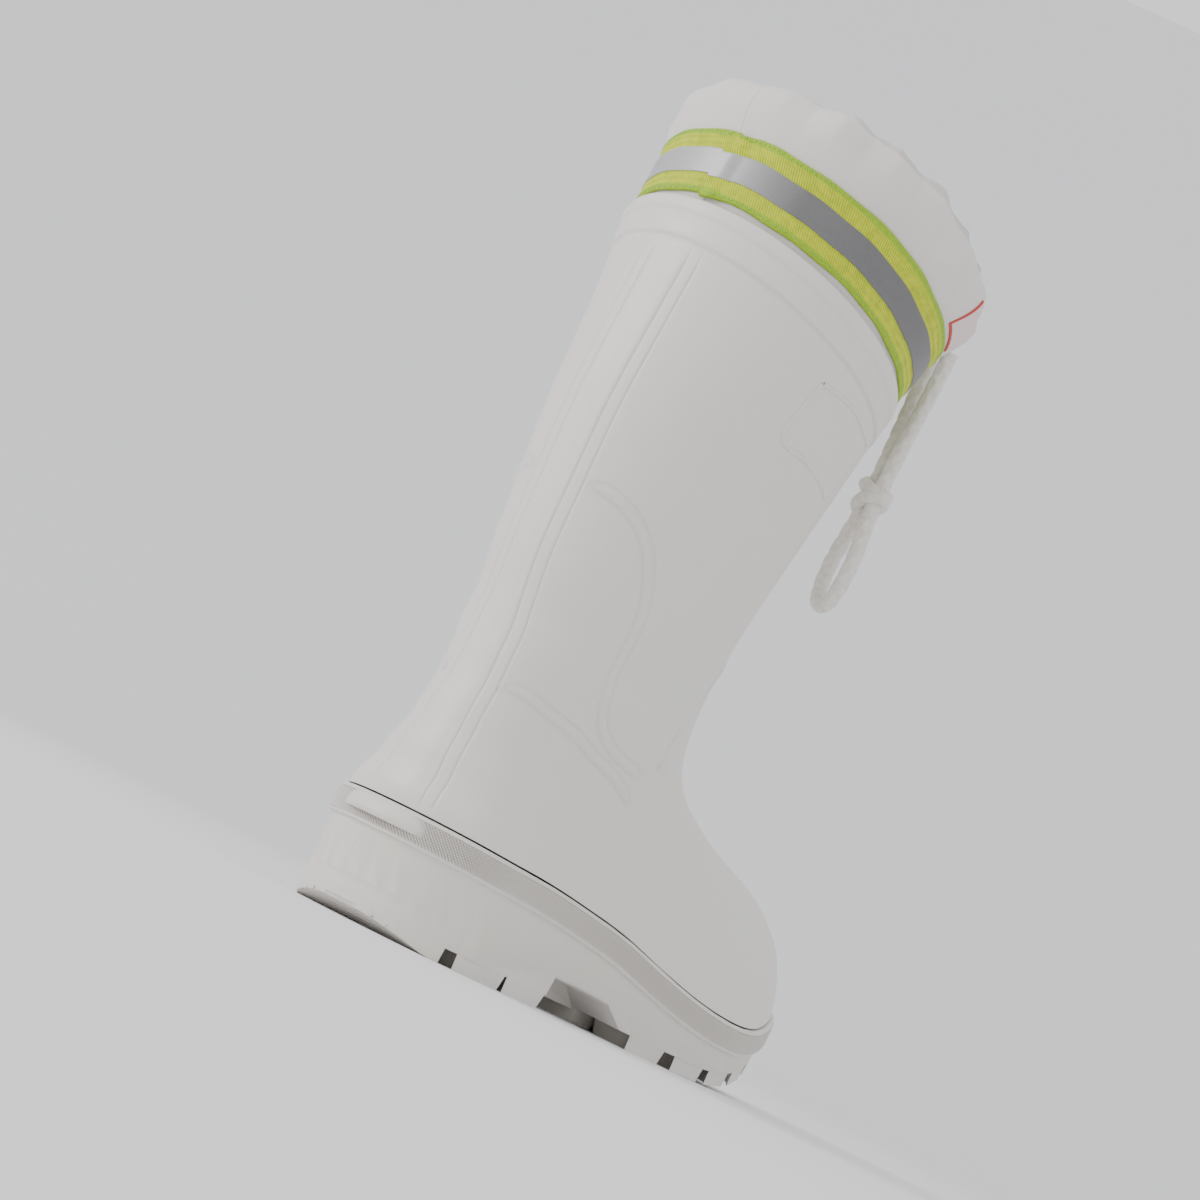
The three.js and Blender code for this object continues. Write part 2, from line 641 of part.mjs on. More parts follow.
function upperWall() {
  const outerRows = 25;
  const innerRows = 10;
  const rings = [
    outlineRing(ringTurns, UPPER_OUT, (x) => cupLow(x) + FIT),
    outlineRing(ringTurns, UPPER_OUT, (x) => top(x) + 2 * FIT),
    skinRing(0, 0),
  ];
  for (let i = 1; i <= outerRows; i += 1) rings.push(skinRing((RIM_BAND.from * i) / outerRows, 0));
  rings.push(skinRing(RIM_BAND.from + 0.006, RIM_BAND.out), skinRing(1, RIM_BAND.out));
  for (let i = innerRows; i >= 1; i -= 1) {
    const level = i / innerRows;
    const thick = WALL + 2 * Math.max(1 - level / 0.2, 0);
    rings.push(skinRing(level, -thick));
  }
  rings.push(
    outlineRing(ringTurns, UPPER_IN, (x) => top(x) + 2),
    outlineRing(ringTurns, UPPER_IN, (x) => cupLow(x) + FIT),
  );
  return ringSolid(rings, true);
}

// A low line that follows the upper's face along a path of turns and levels.
function raisedLine(path, width, height, mirrored) {
  const curve = new THREE.CatmullRomCurve3(
    path.map(([turn, level]) => new THREE.Vector3(mirrored ? 1 - turn : turn, level, 0)),
    false,
    "centripetal",
  );
  const count = Math.round(path.length * 1.5);
  const sunk = 0.8;
  const places = curve.getPoints(count).map(({ x, y }) => ({
    at: skin(y, x),
    normal: skinNormal(y, x),
  }));
  const rings = places.map(({ at, normal }, i) => {
    const ahead = places[Math.min(i + 1, count)].at.clone().sub(places[Math.max(i - 1, 0)].at);
    const across = ahead.cross(normal).normalize();
    const corner = (side, up) => {
      return at.clone().addScaledVector(across, side * width).addScaledVector(normal, up).toArray();
    };
    return [corner(-0.5, -sunk), corner(-0.32, height), corner(0.32, height), corner(0.5, -sunk)];
  });
  return ringSolid(rings);
}

function upper() {
  const lines = [];
  for (const { path, width, height, once } of RAISED) {
    lines.push(raisedLine(path, width, height, false));
    if (!once) lines.push(raisedLine(path, width, height, true));
  }
  return joined(upperWall(), lines);
}

function insole() {
  const out = UPPER_IN - FIT;
  const low = (x) => cupLow(x) + FIT;
  return ringSolid([
    outlineRing(ringTurns, out, low),
    outlineRing(ringTurns, out, (x) => low(x) + INSOLE - 0.8),
    outlineRing(ringTurns, out - 0.8, (x) => low(x) + INSOLE),
  ]);
}

// Fabric cuff and what is on it, built over the plane of the rim.
const rimRing = ringTurns.map((turn) => skin(1, turn));
const rimCentre = rimRing.reduce((sum, p) => sum.add(p), new THREE.Vector3()).divideScalar(AROUND);
const rimBack = skin(1, 0.5);
const rimFront = skin(1, 0);
const rimUp = rimFront.clone().sub(rimBack).cross(new THREE.Vector3(0, 1, 0)).normalize();
const rimHalf = (1.043 * BALL + (rimFront.x - rimBack.x) / 2) / 2;
const cuffWide = column(CUFF_PROFILE.slice(0, -1), "up", "wide");

function cuffPoint(turn, up, wide) {
  const out = skin(1, turn).sub(rimCentre).multiplyScalar(wide);
  return rimCentre.clone().add(out).addScaledVector(rimUp, up * CUFF);
}

function cuffRing(up, wide) {
  return ringTurns.map((turn) => cuffPoint(turn, up, wide).toArray());
}

function cuff() {
  const thin = CLOTH / rimHalf;
  const outer = CUFF_PROFILE.map(({ up, wide }) => cuffRing(up, wide));
  const inner = CUFF_PROFILE.slice(0, -1).reverse().map(({ up, wide }, i) => {
    return cuffRing(i === 0 ? up - 1.3 * CLOTH / CUFF : up, wide - thin);
  });
  return ringSolid([...outer, ...inner], true);
}

function wrap(low, high, gap, thick, turns = null) {
  const rows = [low, (low + high) / 2, high];
  const at = (up, extra) => cuffWide(up) + extra / rimHalf;
  if (!turns) {
    const face = rows.map((up) => cuffRing(up, at(up, gap + thick)));
    const back = rows.map((up) => cuffRing(up, at(up, gap))).reverse();
    return ringSolid([...face, ...back], true);
  }
  const columns = turns.map((turn) => [
    ...rows.map((up) => cuffPoint(turn, up, at(up, gap + thick)).toArray()),
    ...[...rows].reverse().map((up) => cuffPoint(turn, up, at(up, gap)).toArray()),
  ]);
  return ringSolid(columns);
}

const tapeThick = 0.9;
const tapeHigh = TAPE_FOOT + TAPE / CUFF;
const stripeLow = TAPE_FOOT + (TAPE - STRIPE) / 2 / CUFF;

// Drawcord: two strands out of the cuff near its front, a knot and one hanging loop.
function drawcord() {
  const wayOut = (turn) => cuffPoint(turn, CORD_OUT, cuffWide(CORD_OUT));
  const hem = wayOut(CORD_TURN);
  const aside = wayOut(CORD_TURN + 0.01).sub(wayOut(CORD_TURN - 0.01)).setZ(0).normalize();
  const down = new THREE.Vector3(0, 0, -1);
  const ahead = down.clone().cross(aside);
  const place = (row, side) => {
    return hem
      .clone()
      .addScaledVector(ahead, row.ahead)
      .addScaledVector(aside, side * row.aside)
      .addScaledVector(down, row.down);
  };
  const path = [
    ...STRAND.map((row) => place(row, 1)),
    ...[...STRAND].reverse().map((row) => place(row, -1)),
  ];
  const curve = new THREE.CatmullRomCurve3(path, false, "centripetal");
  const count = 26;
  const sides = 8;
  const points = curve.getSpacedPoints(count);
  const frames = curve.computeFrenetFrames(count, false);
  const rings = points.map((point, i) => {
    return Array.from({ length: sides }, (_, k) => {
      const a = ((k + 0.5) / sides) * 2 * Math.PI;
      const out = frames.normals[i].clone().multiplyScalar(Math.cos(a));
      out.addScaledVector(frames.binormals[i], Math.sin(a));
      return point.clone().addScaledVector(out, CORD / 2).toArray();
    });
  });
  const ball = new THREE.SphereGeometry(1, 12, 8);
  ball.scale(KNOT.halfDeep, KNOT.halfAcross, KNOT.halfTall);
  ball.applyMatrix4(new THREE.Matrix4().makeBasis(ahead, aside, down.clone().negate()));
  ball.translate(...place({ ...KNOT, aside: 0 }, 1).toArray());
  return joined(ringSolid(rings), [ball]);
}

const spread = (from, to, count) => {
  return Array.from({ length: count }, (_, i) => from + ((to - from) * i) / (count - 1));
};

const pieces = [
  { name: "outsole", color: 0xe4e0db, geometry: outsole() },
  { name: "upper", color: 0xe7e3de, geometry: upper() },
  { name: "insole", color: 0xcfcac2, geometry: insole() },
  { name: "cuff", color: 0xece8df, geometry: cuff() },
  { name: "hi_vis_tape", color: 0xbfd31c, geometry: wrap(TAPE_FOOT, tapeHigh, FIT, tapeThick) },
  {
    name: "reflective_stripe",
    color: 0x7b7a7a,
    geometry: wrap(stripeLow, stripeLow + STRIPE / CUFF, 2 * FIT + tapeThick, 0.5),
  },
  {
    name: "label",
    color: 0xeadfdb,
    geometry: wrap(LABEL.low, LABEL.high, FIT, 0.6, spread(LABEL.from, LABEL.to, 5)),
  },
  { name: "drawcord", color: 0xefece6, geometry: drawcord() },
];

// The origin is the middle of the standing boot's box on the floor, without the hanging cord.
const whole = new THREE.Box3();
for (const { name, geometry } of pieces) {
  geometry.computeBoundingBox();
  if (name !== "drawcord") whole.union(geometry.boundingBox);
}
const centre = whole.getCenter(new THREE.Vector3());

const group = new THREE.Group();
for (const { name, color, geometry } of pieces) {
  geometry.translate(-centre.x, -centre.y, -whole.min.z);
  geometry.computeVertexNormals();
  const material = new THREE.MeshStandardMaterial({ color, roughness: 0.6, name });
  const mesh = new THREE.Mesh(geometry, material);
  mesh.name = name;
  group.add(mesh);
}

export default group;
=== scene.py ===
import math

import bpy
import numpy as np
from mathutils import Matrix, Vector


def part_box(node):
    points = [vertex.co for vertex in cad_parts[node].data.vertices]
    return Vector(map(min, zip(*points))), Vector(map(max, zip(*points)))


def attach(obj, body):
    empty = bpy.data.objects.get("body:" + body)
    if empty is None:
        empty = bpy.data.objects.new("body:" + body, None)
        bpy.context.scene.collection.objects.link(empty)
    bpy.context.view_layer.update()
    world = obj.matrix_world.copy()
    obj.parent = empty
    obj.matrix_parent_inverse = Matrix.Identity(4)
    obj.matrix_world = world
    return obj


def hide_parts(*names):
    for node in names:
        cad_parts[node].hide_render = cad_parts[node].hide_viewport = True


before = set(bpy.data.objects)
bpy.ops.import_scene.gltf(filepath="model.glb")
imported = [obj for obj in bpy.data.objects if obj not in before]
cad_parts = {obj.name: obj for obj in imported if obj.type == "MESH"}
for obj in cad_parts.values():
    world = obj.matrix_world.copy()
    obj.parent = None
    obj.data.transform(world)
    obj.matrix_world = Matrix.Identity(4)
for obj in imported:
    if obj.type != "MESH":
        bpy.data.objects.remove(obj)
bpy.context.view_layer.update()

MM = 0.001
TURN = 2 * math.pi

# Driving sizes of the boot, in mm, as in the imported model.
LENGTH = 286
BALL = 53.4
SHAFT = 273
BAND = 11
BAND_OUT = 1.3
RIM_WALL = 3.2
WALL = 2.4
FIT = 0.3
CUFF = 52
CLOTH = 1.5
TAPE = 25
STRIPE = 10
CORD = 6
AROUND = 56

# Outline of the sole. along: share of LENGTH. middle and swell: shares of BALL.
OUTLINE_COLUMNS = ["along", "middle", "swell"]
OUTLINE = [
    [0, 0, 1.273],
    [0.05, 0.002, 1.225],
    [0.1, 0.009, 1.082],
    [0.15, 0.019, 0.944],
    [0.2, 0.022, 0.848],
    [0.3, 0.019, 0.736],
    [0.4, 0.009, 0.71],
    [0.5, 0.041, 0.796],
    [0.6, 0.131, 0.959],
    [0.7, 0.169, 1.073],
    [0.8, 0.197, 1.12],
    [0.85, 0.213, 1.133],
    [0.9, 0.225, 1.172],
    [0.95, 0.234, 1.255],
    [1, 0.243, 1.311],
]

# Top of the band in mm.
SIDE_COLUMNS = ["along", "band_top"]
SIDE = [
    [0, 41.5],
    [0.1, 40.5],
    [0.2, 40],
    [0.3, 38.5],
    [0.4, 36],
    [0.5, 31],
    [0.6, 27],
    [0.7, 25.5],
    [0.8, 27],
    [0.9, 32],
    [1, 41],
]

# Slices of the upper from the band (level 0) to the rim (level 1).
# back_x and front_x: shares of LENGTH. back_z, front_z and rise: shares of SHAFT.
# back, waist and front: swell of an oval slice. lean: shift to the inner side at the front.
# foot: how much of the sole's outline the slice keeps, narrowed by keep.
SLICE_COLUMNS = [
    "level", "back_x", "back_z", "front_x", "front_z", "back", "waist", "front",
    "lean", "foot", "rise", "keep",
]
SLICES = [
    [0, 0.002, 0.153, 0.998, 0.151, 1.124, 0.712, 1.236, 0.243, 1, 0.0025, 0.995],
    [0.071, 0.001, 0.176, 0.999, 0.176, 1.161, 0.693, 1.236, 0.243, 1, 0.024, 0.95],
    [0.143, 0.01, 0.209, 0.995, 0.205, 1.151, 0.65, 1.049, 0.234, 0.92, 0.051, 0.87],
    [0.214, 0.013, 0.242, 0.979, 0.238, 1.08, 0.587, 0.747, 0.225, 0.75, 0.081, 0.79],
    [0.286, 0.02, 0.275, 0.937, 0.264, 0.943, 0.501, 0.598, 0.206, 0.5, 0.103, 0.73],
    [0.357, 0.025, 0.308, 0.867, 0.282, 0.884, 0.466, 0.515, 0.187, 0.25, 0.125, 0.69],
    [0.429, 0.032, 0.341, 0.747, 0.297, 0.837, 0.472, 0.501, 0.15, 0.08, 0.14, 0.68],
    [0.5, 0.033, 0.374, 0.651, 0.311, 0.8, 0.521, 0.472, 0.103, 0, 0.15, 0.7],
    [0.571, 0.033, 0.41, 0.564, 0.333, 0.787, 0.598, 0.496, 0.066, 0, 0.15, 0.7],
    [0.643, 0.029, 0.454, 0.504, 0.374, 0.701, 0.611, 0.533, 0.028, 0, 0.15, 0.7],
    [0.714, 0.019, 0.516, 0.467, 0.443, 0.698, 0.664, 0.624, 0.009, 0, 0.15, 0.7],
    [0.786, 0.013, 0.608, 0.456, 0.538, 0.74, 0.741, 0.714, 0, 0, 0.15, 0.7],
    [0.857, 0.008, 0.725, 0.465, 0.652, 0.813, 0.829, 0.811, 0, 0, 0.15, 0.7],
    [0.929, 0.016, 0.861, 0.473, 0.769, 0.908, 0.927, 0.923, 0, 0, 0.15, 0.7],
    [1, 0.025, 0.996, 0.476, 0.883, 1.043, 1.043, 1.043, 0, 0, 0.15, 0.7],
]

# Cuff above the plane of the rim. up: share of CUFF. wide: share of the rim's size.
CUFF_COLUMNS = ["up", "wide"]
CUFF_PROFILE = [
    [-0.16, 0.9],
    [0, 0.93],
    [0.025, 0.95],
    [0.06, 0.966],
    [0.3, 0.985],
    [0.54, 1.015],
    [0.72, 1.075],
    [0.85, 1.08],
    [0.95, 1.03],
    [1, 0.93],
]
TAPE_FOOT = 0.06
LABEL = {"from": 0.795, "to": 0.85, "low": 0.58, "high": 0.82}

# Corners of the gathered cuff's outline. turn: place round the boot. out and rise: mm.
CORNER_COLUMNS = ["turn", "out", "rise"]
CORNERS = [
    [0.02, 1.3, 0.6], [0.085, 2.0, 1.1], [0.15, 1.2, 0.3], [0.21, 1.9, 0.9], [0.27, 1.3, 0.5],
    [0.335, 2.1, 1.2], [0.395, 1.0, 0.2], [0.455, 1.7, 0.8], [0.53, 1.2, 0.3], [0.585, 2.2, 1.2],
    [0.64, 1.3, 0.4], [0.69, 2.3, 1.0], [0.745, 1.5, 0.3], [0.8, 2.1, 1.1], [0.86, 1.4, 0.5],
    [0.925, 1.9, 0.9], [0.975, 1.1, 0.2],
]

# Centre line of the drawcord from its way out of the cuff, in mm: away from the cuff, aside and
# down. The second strand is its mirror image.
CORD_TURN = 0.92
CORD_OUT = 0.8
STRAND_COLUMNS = ["ahead", "aside", "down"]
STRAND = [
    [3.2, 7, 0], [3.6, 6.4, 6], [3.8, 5.2, 20], [3.8, 4, 36], [3.8, 3.3, 50], [3.8, 3.2, 64],
    [3.8, 5.5, 74], [3.8, 7.8, 87], [3.8, 6.8, 98], [3.8, 3, 104],
]
KNOT_AHEAD = 3.8
KNOT_DOWN = 60

# Soft ridges of the upper, as rows of turn and level. Each but the badge frame also runs mirrored on the
# other side.
EAR_RIDGE = [
    [0.547, 0.787], [0.578, 0.79], [0.613, 0.785], [0.642, 0.772], [0.66, 0.753], [0.675, 0.72],
    [0.676, 0.672], [0.662, 0.585], [0.662, 0.503], [0.675, 0.46], [0.7, 0.445], [0.724, 0.447],
]
LOW_RIDGE = [
    [0.542, 0.427], [0.567, 0.443], [0.59, 0.438], [0.614, 0.432], [0.64, 0.422], [0.66, 0.405],
    [0.685, 0.39], [0.704, 0.35],
]
FRONT_LINE = [
    [0.754, 0.505], [0.79, 0.6], [0.826, 0.672], [0.865, 0.74], [0.93, 0.78], [0.999, 0.79],
]
BADGE_FRAME = [
    [0.707, 0.948], [0.703, 0.907], [0.718, 0.9], [0.746, 0.904], [0.797, 0.906], [0.825, 0.907],
    [0.832, 0.93], [0.835, 0.958], [0.803, 0.958], [0.76, 0.957], [0.708, 0.949],
]
BACK_STRIP = [
    [0.533, 0.04], [0.534, 0.15], [0.535, 0.3], [0.535, 0.45], [0.536, 0.6], [0.535, 0.7],
    [0.534, 0.8], [0.532, 0.9], [0.53, 0.97],
]


def column(names, table, key, name):
    """Smooth curve through one column of a table, by its first column."""
    rows = np.array(table, float)
    at = rows[:, names.index(key)]
    value = rows[:, names.index(name)]
    before = np.maximum(np.arange(len(at)) - 1, 0)
    after = np.minimum(np.arange(len(at)) + 1, len(at) - 1)
    slope = (value[after] - value[before]) / (at[after] - at[before])

    def curve(x):
        p = np.clip(np.asarray(x, float), at[0], at[-1])
        i = np.clip(np.searchsorted(at, p, side="right") - 1, 0, len(at) - 2)
        step = at[i + 1] - at[i]
        s = (p - at[i]) / step
        return (
            (2 * s**3 - 3 * s**2 + 1) * value[i]
            + (s**3 - 2 * s**2 + s) * step * slope[i]
            + (3 * s**2 - 2 * s**3) * value[i + 1]
            + (s**3 - s**2) * step * slope[i + 1]
        )

    return curve


middle = column(OUTLINE_COLUMNS, OUTLINE, "along", "middle")
swell = column(OUTLINE_COLUMNS, OUTLINE, "along", "swell")
band_top = column(SIDE_COLUMNS, SIDE, "along", "band_top")
slice_of = {name: column(SLICE_COLUMNS, SLICES, "level", name) for name in SLICE_COLUMNS[1:]}
cuff_wide = column(CUFF_COLUMNS, CUFF_PROFILE, "up", "wide")


def outline_point(turn, out=0.0):
    """Point of the sole's outline, moved outwards. turn 0 is the toe, 0.25 the inner side."""

    def place(k):
        along = (1 + np.cos(k * TURN)) / 2
        across = middle(along) + np.sin(k * TURN) * swell(along)
        return np.stack([along * LENGTH, across * BALL], -1)

    step = 1e-4
    tangent = place(turn + step) - place(turn - step)
    tangent /= np.linalg.norm(tangent, axis=-1, keepdims=True)
    normal = np.stack([tangent[..., 1], -tangent[..., 0]], -1)
    return place(turn) + normal * np.asarray(out)[..., None]


def skin(level, turn):
    """Point on the outer face of the upper."""
    level, turn = np.broadcast_arrays(np.asarray(level, float), np.asarray(turn, float))
    t = (1 + np.cos(turn * TURN)) / 2
    row = {name: curve(level) for name, curve in slice_of.items()}
    foot = np.clip(row["foot"], 0, 1)
    oval = row["back"] * (1 - t) ** 2 + 2 * row["waist"] * t * (1 - t) + row["front"] * t**2
    wide = foot * swell(t) * row["keep"] + (1 - foot) * oval
    centre = foot * middle(t) + (1 - foot) * row["lean"] * t
    oblique = (row["back_z"] * (1 - t) + row["front_z"] * t) * SHAFT
    return np.stack(
        [
            (row["back_x"] * (1 - t) + row["front_x"] * t) * LENGTH,
            (centre + np.sin(turn * TURN) * wide) * BALL,
            foot * (band_top(t) + row["rise"] * SHAFT) + (1 - foot) * oblique,
        ],
        -1,
    )


def skin_normal(level, turn):
    step = 2e-3
    level = np.asarray(level, float)
    rise = skin(np.minimum(level + step, 1), turn) - skin(np.maximum(level - step, 0), turn)
    round_ = skin(level, turn + step) - skin(level, turn - step)
    normal = np.cross(round_, rise)
    return normal / np.linalg.norm(normal, axis=-1, keepdims=True)


def skin_out(level, turn, out):
    return skin(level, turn) + skin_normal(level, turn) * np.asarray(out)[..., None]


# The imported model's frame has its origin under the middle of the boot's box.
ring = (np.arange(AROUND) + 0.5) / AROUND
band_ring = outline_point(ring, BAND_OUT)
sole_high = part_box("outsole")[1]
FRAME_SHIFT = np.array(
    [sole_high[0] / MM - band_ring[:, 0].max(), sole_high[1] / MM - band_ring[:, 1].max(), 0]
)


def to_frame(points):
    """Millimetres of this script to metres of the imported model's frame."""
    return (np.asarray(points, float) + FRAME_SHIFT) * MM


# Camera: the photo's azimuth, held just above the floor, and rolled as in the photo.
CAMERA_AZIMUTH = 304.6
CAMERA_HEIGHT = 0.02
CAMERA_DISTANCE = 1.22
CAMERA_ROLL = 26.2
CAMERA_AIM = Vector((-0.0267, 0.0358, 0.1445))
CAMERA_VIEW = 20.7


def add_camera():
    azimuth = math.radians(CAMERA_AZIMUTH)
    drop = (CAMERA_HEIGHT - CAMERA_AIM.z) / CAMERA_DISTANCE
    flat = math.sqrt(1 - drop * drop)
    back = Vector((math.sin(azimuth) * flat, -math.cos(azimuth) * flat, drop))
    right = (-back).cross(Vector((0, 0, 1))).normalized()
    up = right.cross(-back)
    roll = math.radians(CAMERA_ROLL)
    turned_right = right * math.cos(roll) + up * math.sin(roll)
    turned_up = up * math.cos(roll) - right * math.sin(roll)
    rows = Matrix((turned_right, turned_up, back)).transposed().to_4x4()
    data = bpy.data.cameras.new("camera")
    data.lens_unit = "FOV"
    data.angle = math.radians(CAMERA_VIEW)
    data.clip_end = 50
    camera = bpy.data.objects.new("camera", data)
    camera.matrix_world = Matrix.Translation(CAMERA_AIM + back * CAMERA_DISTANCE) @ rows
    bpy.context.scene.collection.objects.link(camera)
    bpy.context.scene.camera = camera
    return camera


camera = add_camera()


def new_piece(name, points, faces, uv=None, smooth=True):
    """A mesh object from points in this script's millimetres."""
    mesh = bpy.data.meshes.new(name)
    mesh.from_pydata(to_frame(points).tolist(), [], faces)
    mesh.update()
    if smooth:
        mesh.shade_smooth()
    if uv is not None:
        layer = mesh.uv_layers.new(name="cloth")
        index = np.empty(len(mesh.loops), int)
        mesh.loops.foreach_get("vertex_index", index)
        layer.data.foreach_set("uv", np.asarray(uv, float)[index].ravel())
    piece = bpy.data.objects.new(name, mesh)
    bpy.context.scene.collection.objects.link(piece)
    return piece


def grid_faces(rows, columns, closed_rows=False, closed_columns=False, start=0):
    """Quads of a grid of points, row by row."""
    faces = []
    for r in range(rows if closed_rows else rows - 1):
        above = (r + 1) % rows
        for c in range(columns if closed_columns else columns - 1):
            beside = (c + 1) % columns
            faces.append(
                [
                    start + r * columns + c,
                    start + r * columns + beside,
                    start + above * columns + beside,
                    start + above * columns + c,
                ]
            )
    return faces


class Sheets:
    """Grids of points that end up in one mesh."""

    def __init__(self):
        self.points = []
        self.faces = []
        self.uv = []
        self.count = 0

    def add(self, grid, closed_rows=False, closed_columns=False, uv=None):
        rows, columns = grid.shape[:2]
        self.points.append(grid.reshape(-1, 3))
        self.faces += grid_faces(rows, columns, closed_rows, closed_columns, self.count)
        self.uv.append(np.zeros((rows * columns, 2)) if uv is None else uv.reshape(-1, 2))
        self.count += rows * columns

    def piece(self, name, smooth=True):
        return new_piece(name, np.vstack(self.points), self.faces, np.vstack(self.uv), smooth)


def path_points(path, count, mirrored=False):
    """Even points on a smooth path through rows of turn and level."""
    rows = np.array(path, float)
    if mirrored:
        rows[:, 0] = 1 - rows[:, 0]
    at = np.arange(len(rows))
    fine = np.linspace(0, len(rows) - 1, 40 * len(rows))
    before = np.maximum(at - 1, 0)
    after = np.minimum(at + 1, len(rows) - 1)
    slope = (rows[after] - rows[before]) / (after - before)[:, None]
    i = np.minimum(fine.astype(int), len(rows) - 2)
    s = (fine - i)[:, None]
    smooth = (
        (2 * s**3 - 3 * s**2 + 1) * rows[i]
        + (s**3 - 2 * s**2 + s) * slope[i]
        + (3 * s**2 - 2 * s**3) * rows[i + 1]
        + (s**3 - s**2) * slope[i + 1]
    )
    places = skin(smooth[:, 1], smooth[:, 0])
    run = np.concatenate([[0], np.cumsum(np.linalg.norm(np.diff(places, axis=0), axis=1))])
    want = np.linspace(0, run[-1], count)
    return np.interp(want, run, smooth[:, 0]), np.interp(want, run, smooth[:, 1])


def ridge(path, profile, count, mirrored=False, fade=0):
    """A line that stands out of the upper: profile rows are (across, out) in mm."""
    turn, level = path_points(path, count, mirrored)
    at = skin(level, turn)
    normal = skin_normal(level, turn)
    ahead = np.gradient(at, axis=0)
    across = np.cross(ahead, normal)
    across /= np.linalg.norm(across, axis=1, keepdims=True)
    share = np.linspace(0, 1, count)
    strength = np.ones(count)
    if fade:
        strength = np.clip(np.minimum(share, 1 - share) / fade, 0, 1)
        strength = strength * strength * (3 - 2 * strength)
    grid = []
    for side, out in profile:
        height = np.where(out > 0, out * strength, out)
        grid.append(at + across * side + normal * (height - 0.15 * (1 - strength))[:, None])
    return np.stack(grid, 1)


# Materials.
def material(name, color, roughness, **more):
    made = bpy.data.materials.new(name)
    made.use_nodes = True
    shader = made.node_tree.nodes["Principled BSDF"]
    shader.inputs["Base Color"].default_value = (*color, 1)
    shader.inputs["Roughness"].default_value = roughness
    for key, value in more.items():
        shader.inputs[key.replace("_", " ")].default_value = value
    return made


class Graph:
    """Short forms for the nodes of one material."""

    def __init__(self, made):
        self.tree = made.node_tree
        self.shader = self.tree.nodes["Principled BSDF"]

    def node(self, kind, **settings):
        made = self.tree.nodes.new(kind)
        for key, value in settings.items():
            setattr(made, key, value)
        return made

    def link(self, source, target):
        self.tree.links.new(source, target)

    def noise(self, scale, detail=3.0, roughness=0.5, where=None):
        made = self.node("ShaderNodeTexNoise")
        made.inputs["Scale"].default_value = scale
        made.inputs["Detail"].default_value = detail
        made.inputs["Roughness"].default_value = roughness
        if where is None:
            where = self.place()
        self.link(where, made.inputs["Vector"])
        return made.outputs["Fac"]

    def place(self):
        return self.node("ShaderNodeNewGeometry").outputs["Position"]

    def uv(self):
        return self.node("ShaderNodeUVMap", uv_map="cloth").outputs["UV"]

    def scaled(self, where, scale):
        made = self.node("ShaderNodeVectorMath", operation="MULTIPLY")
        self.link(where, made.inputs[0])
        made.inputs[1].default_value = scale
        return made.outputs[0]

    def math(self, operation, a, b=None, c=None):
        made = self.node("ShaderNodeMath", operation=operation)
        for socket, value in zip(made.inputs, (a, b, c)):
            if value is None:
                continue
            if isinstance(value, (int, float)):
                socket.default_value = value
            else:
                self.link(value, socket)
        return made.outputs[0]

    def ramp(self, fac, stops):
        made = self.node("ShaderNodeValToRGB")
        self.link(fac, made.inputs["Fac"])
        elements = made.color_ramp.elements
        while len(elements) < len(stops):
            elements.new(0.5)
        for element, (position, color) in zip(elements, stops):
            element.position = position
            element.color = (*color, 1)
        return made.outputs["Color"]

    def bump(self, height, distance, strength=1.0, base=None):
        made = self.node("ShaderNodeBump")
        made.inputs["Strength"].default_value = strength
        made.inputs["Distance"].default_value = distance
        self.link(height, made.inputs["Height"])
        if base is not None:
            self.link(base, made.inputs["Normal"])
        self.link(made.outputs["Normal"], self.shader.inputs["Normal"])
        return made.outputs["Normal"]


RUBBER = (0.76, 0.73, 0.695)


def rubber_material(name, tint, roughness, grain):
    """Matt moulded rubber: faint clouds of tone, orange peel, and a few rub marks."""
    made = material(name, tint, roughness, Specular_IOR_Level=0.45)
    made.node_tree.nodes["Principled BSDF"].inputs["Subsurface Weight"].default_value = 0.12
    made.node_tree.nodes["Principled BSDF"].inputs["Subsurface Radius"].default_value = (1, 0.8, 0.6)
    made.node_tree.nodes["Principled BSDF"].inputs["Subsurface Scale"].default_value = 0.002
    g = Graph(made)
    cloud = g.noise(38, 4, 0.55)
    warm = tuple(c * k for c, k in zip(tint, (1.0, 0.985, 0.96)))
    cool = tuple(c * k for c, k in zip(tint, (0.985, 0.995, 1.0)))
    g.link(g.ramp(cloud, [(0.3, cool), (0.7, warm)]), g.shader.inputs["Base Color"])
    rub = g.noise(120, 5, 0.6)
    g.link(
        g.math("MULTIPLY_ADD", rub, 0.16, roughness - 0.08),
        g.shader.inputs["Roughness"],
    )
    fine = g.noise(2600, 2, 0.5)
    broad = g.noise(260, 2, 0.5)
    height = g.math("MULTIPLY_ADD", broad, 2.2, g.math("MULTIPLY", fine, 0.6))
    g.bump(height, grain * MM, 0.5)
    return made


upper_rubber = rubber_material("upper_rubber", RUBBER, 0.42, 0.035)
SOLE_TINT = (0.74, 0.705, 0.66)
sole_rubber = rubber_material("sole_rubber", SOLE_TINT, 0.5, 0.05)


# Upper: outer face, rim band, inner face, and the moulded lines on it.
RIM_FROM = 0.972
RIM_OUT = 0.6
STRIP_HALF = 2.3  # from the middle of a back strip to the grooves at its edges
GROOVE = 0.5
GROOVE_HALF = 0.38
GROOVE_COLUMNS = [-1.3, -0.8, -0.5, -0.3, -0.15, 0, 0.15, 0.3, 0.5, 0.8, 1.3]
CENTRE_GROOVE = 0.22
FLUTES = 0.1
LOW_SIDE = 116  # columns of the outer face on each side of the back
UPPER_ROWS = 168
INNER_ROWS = 40

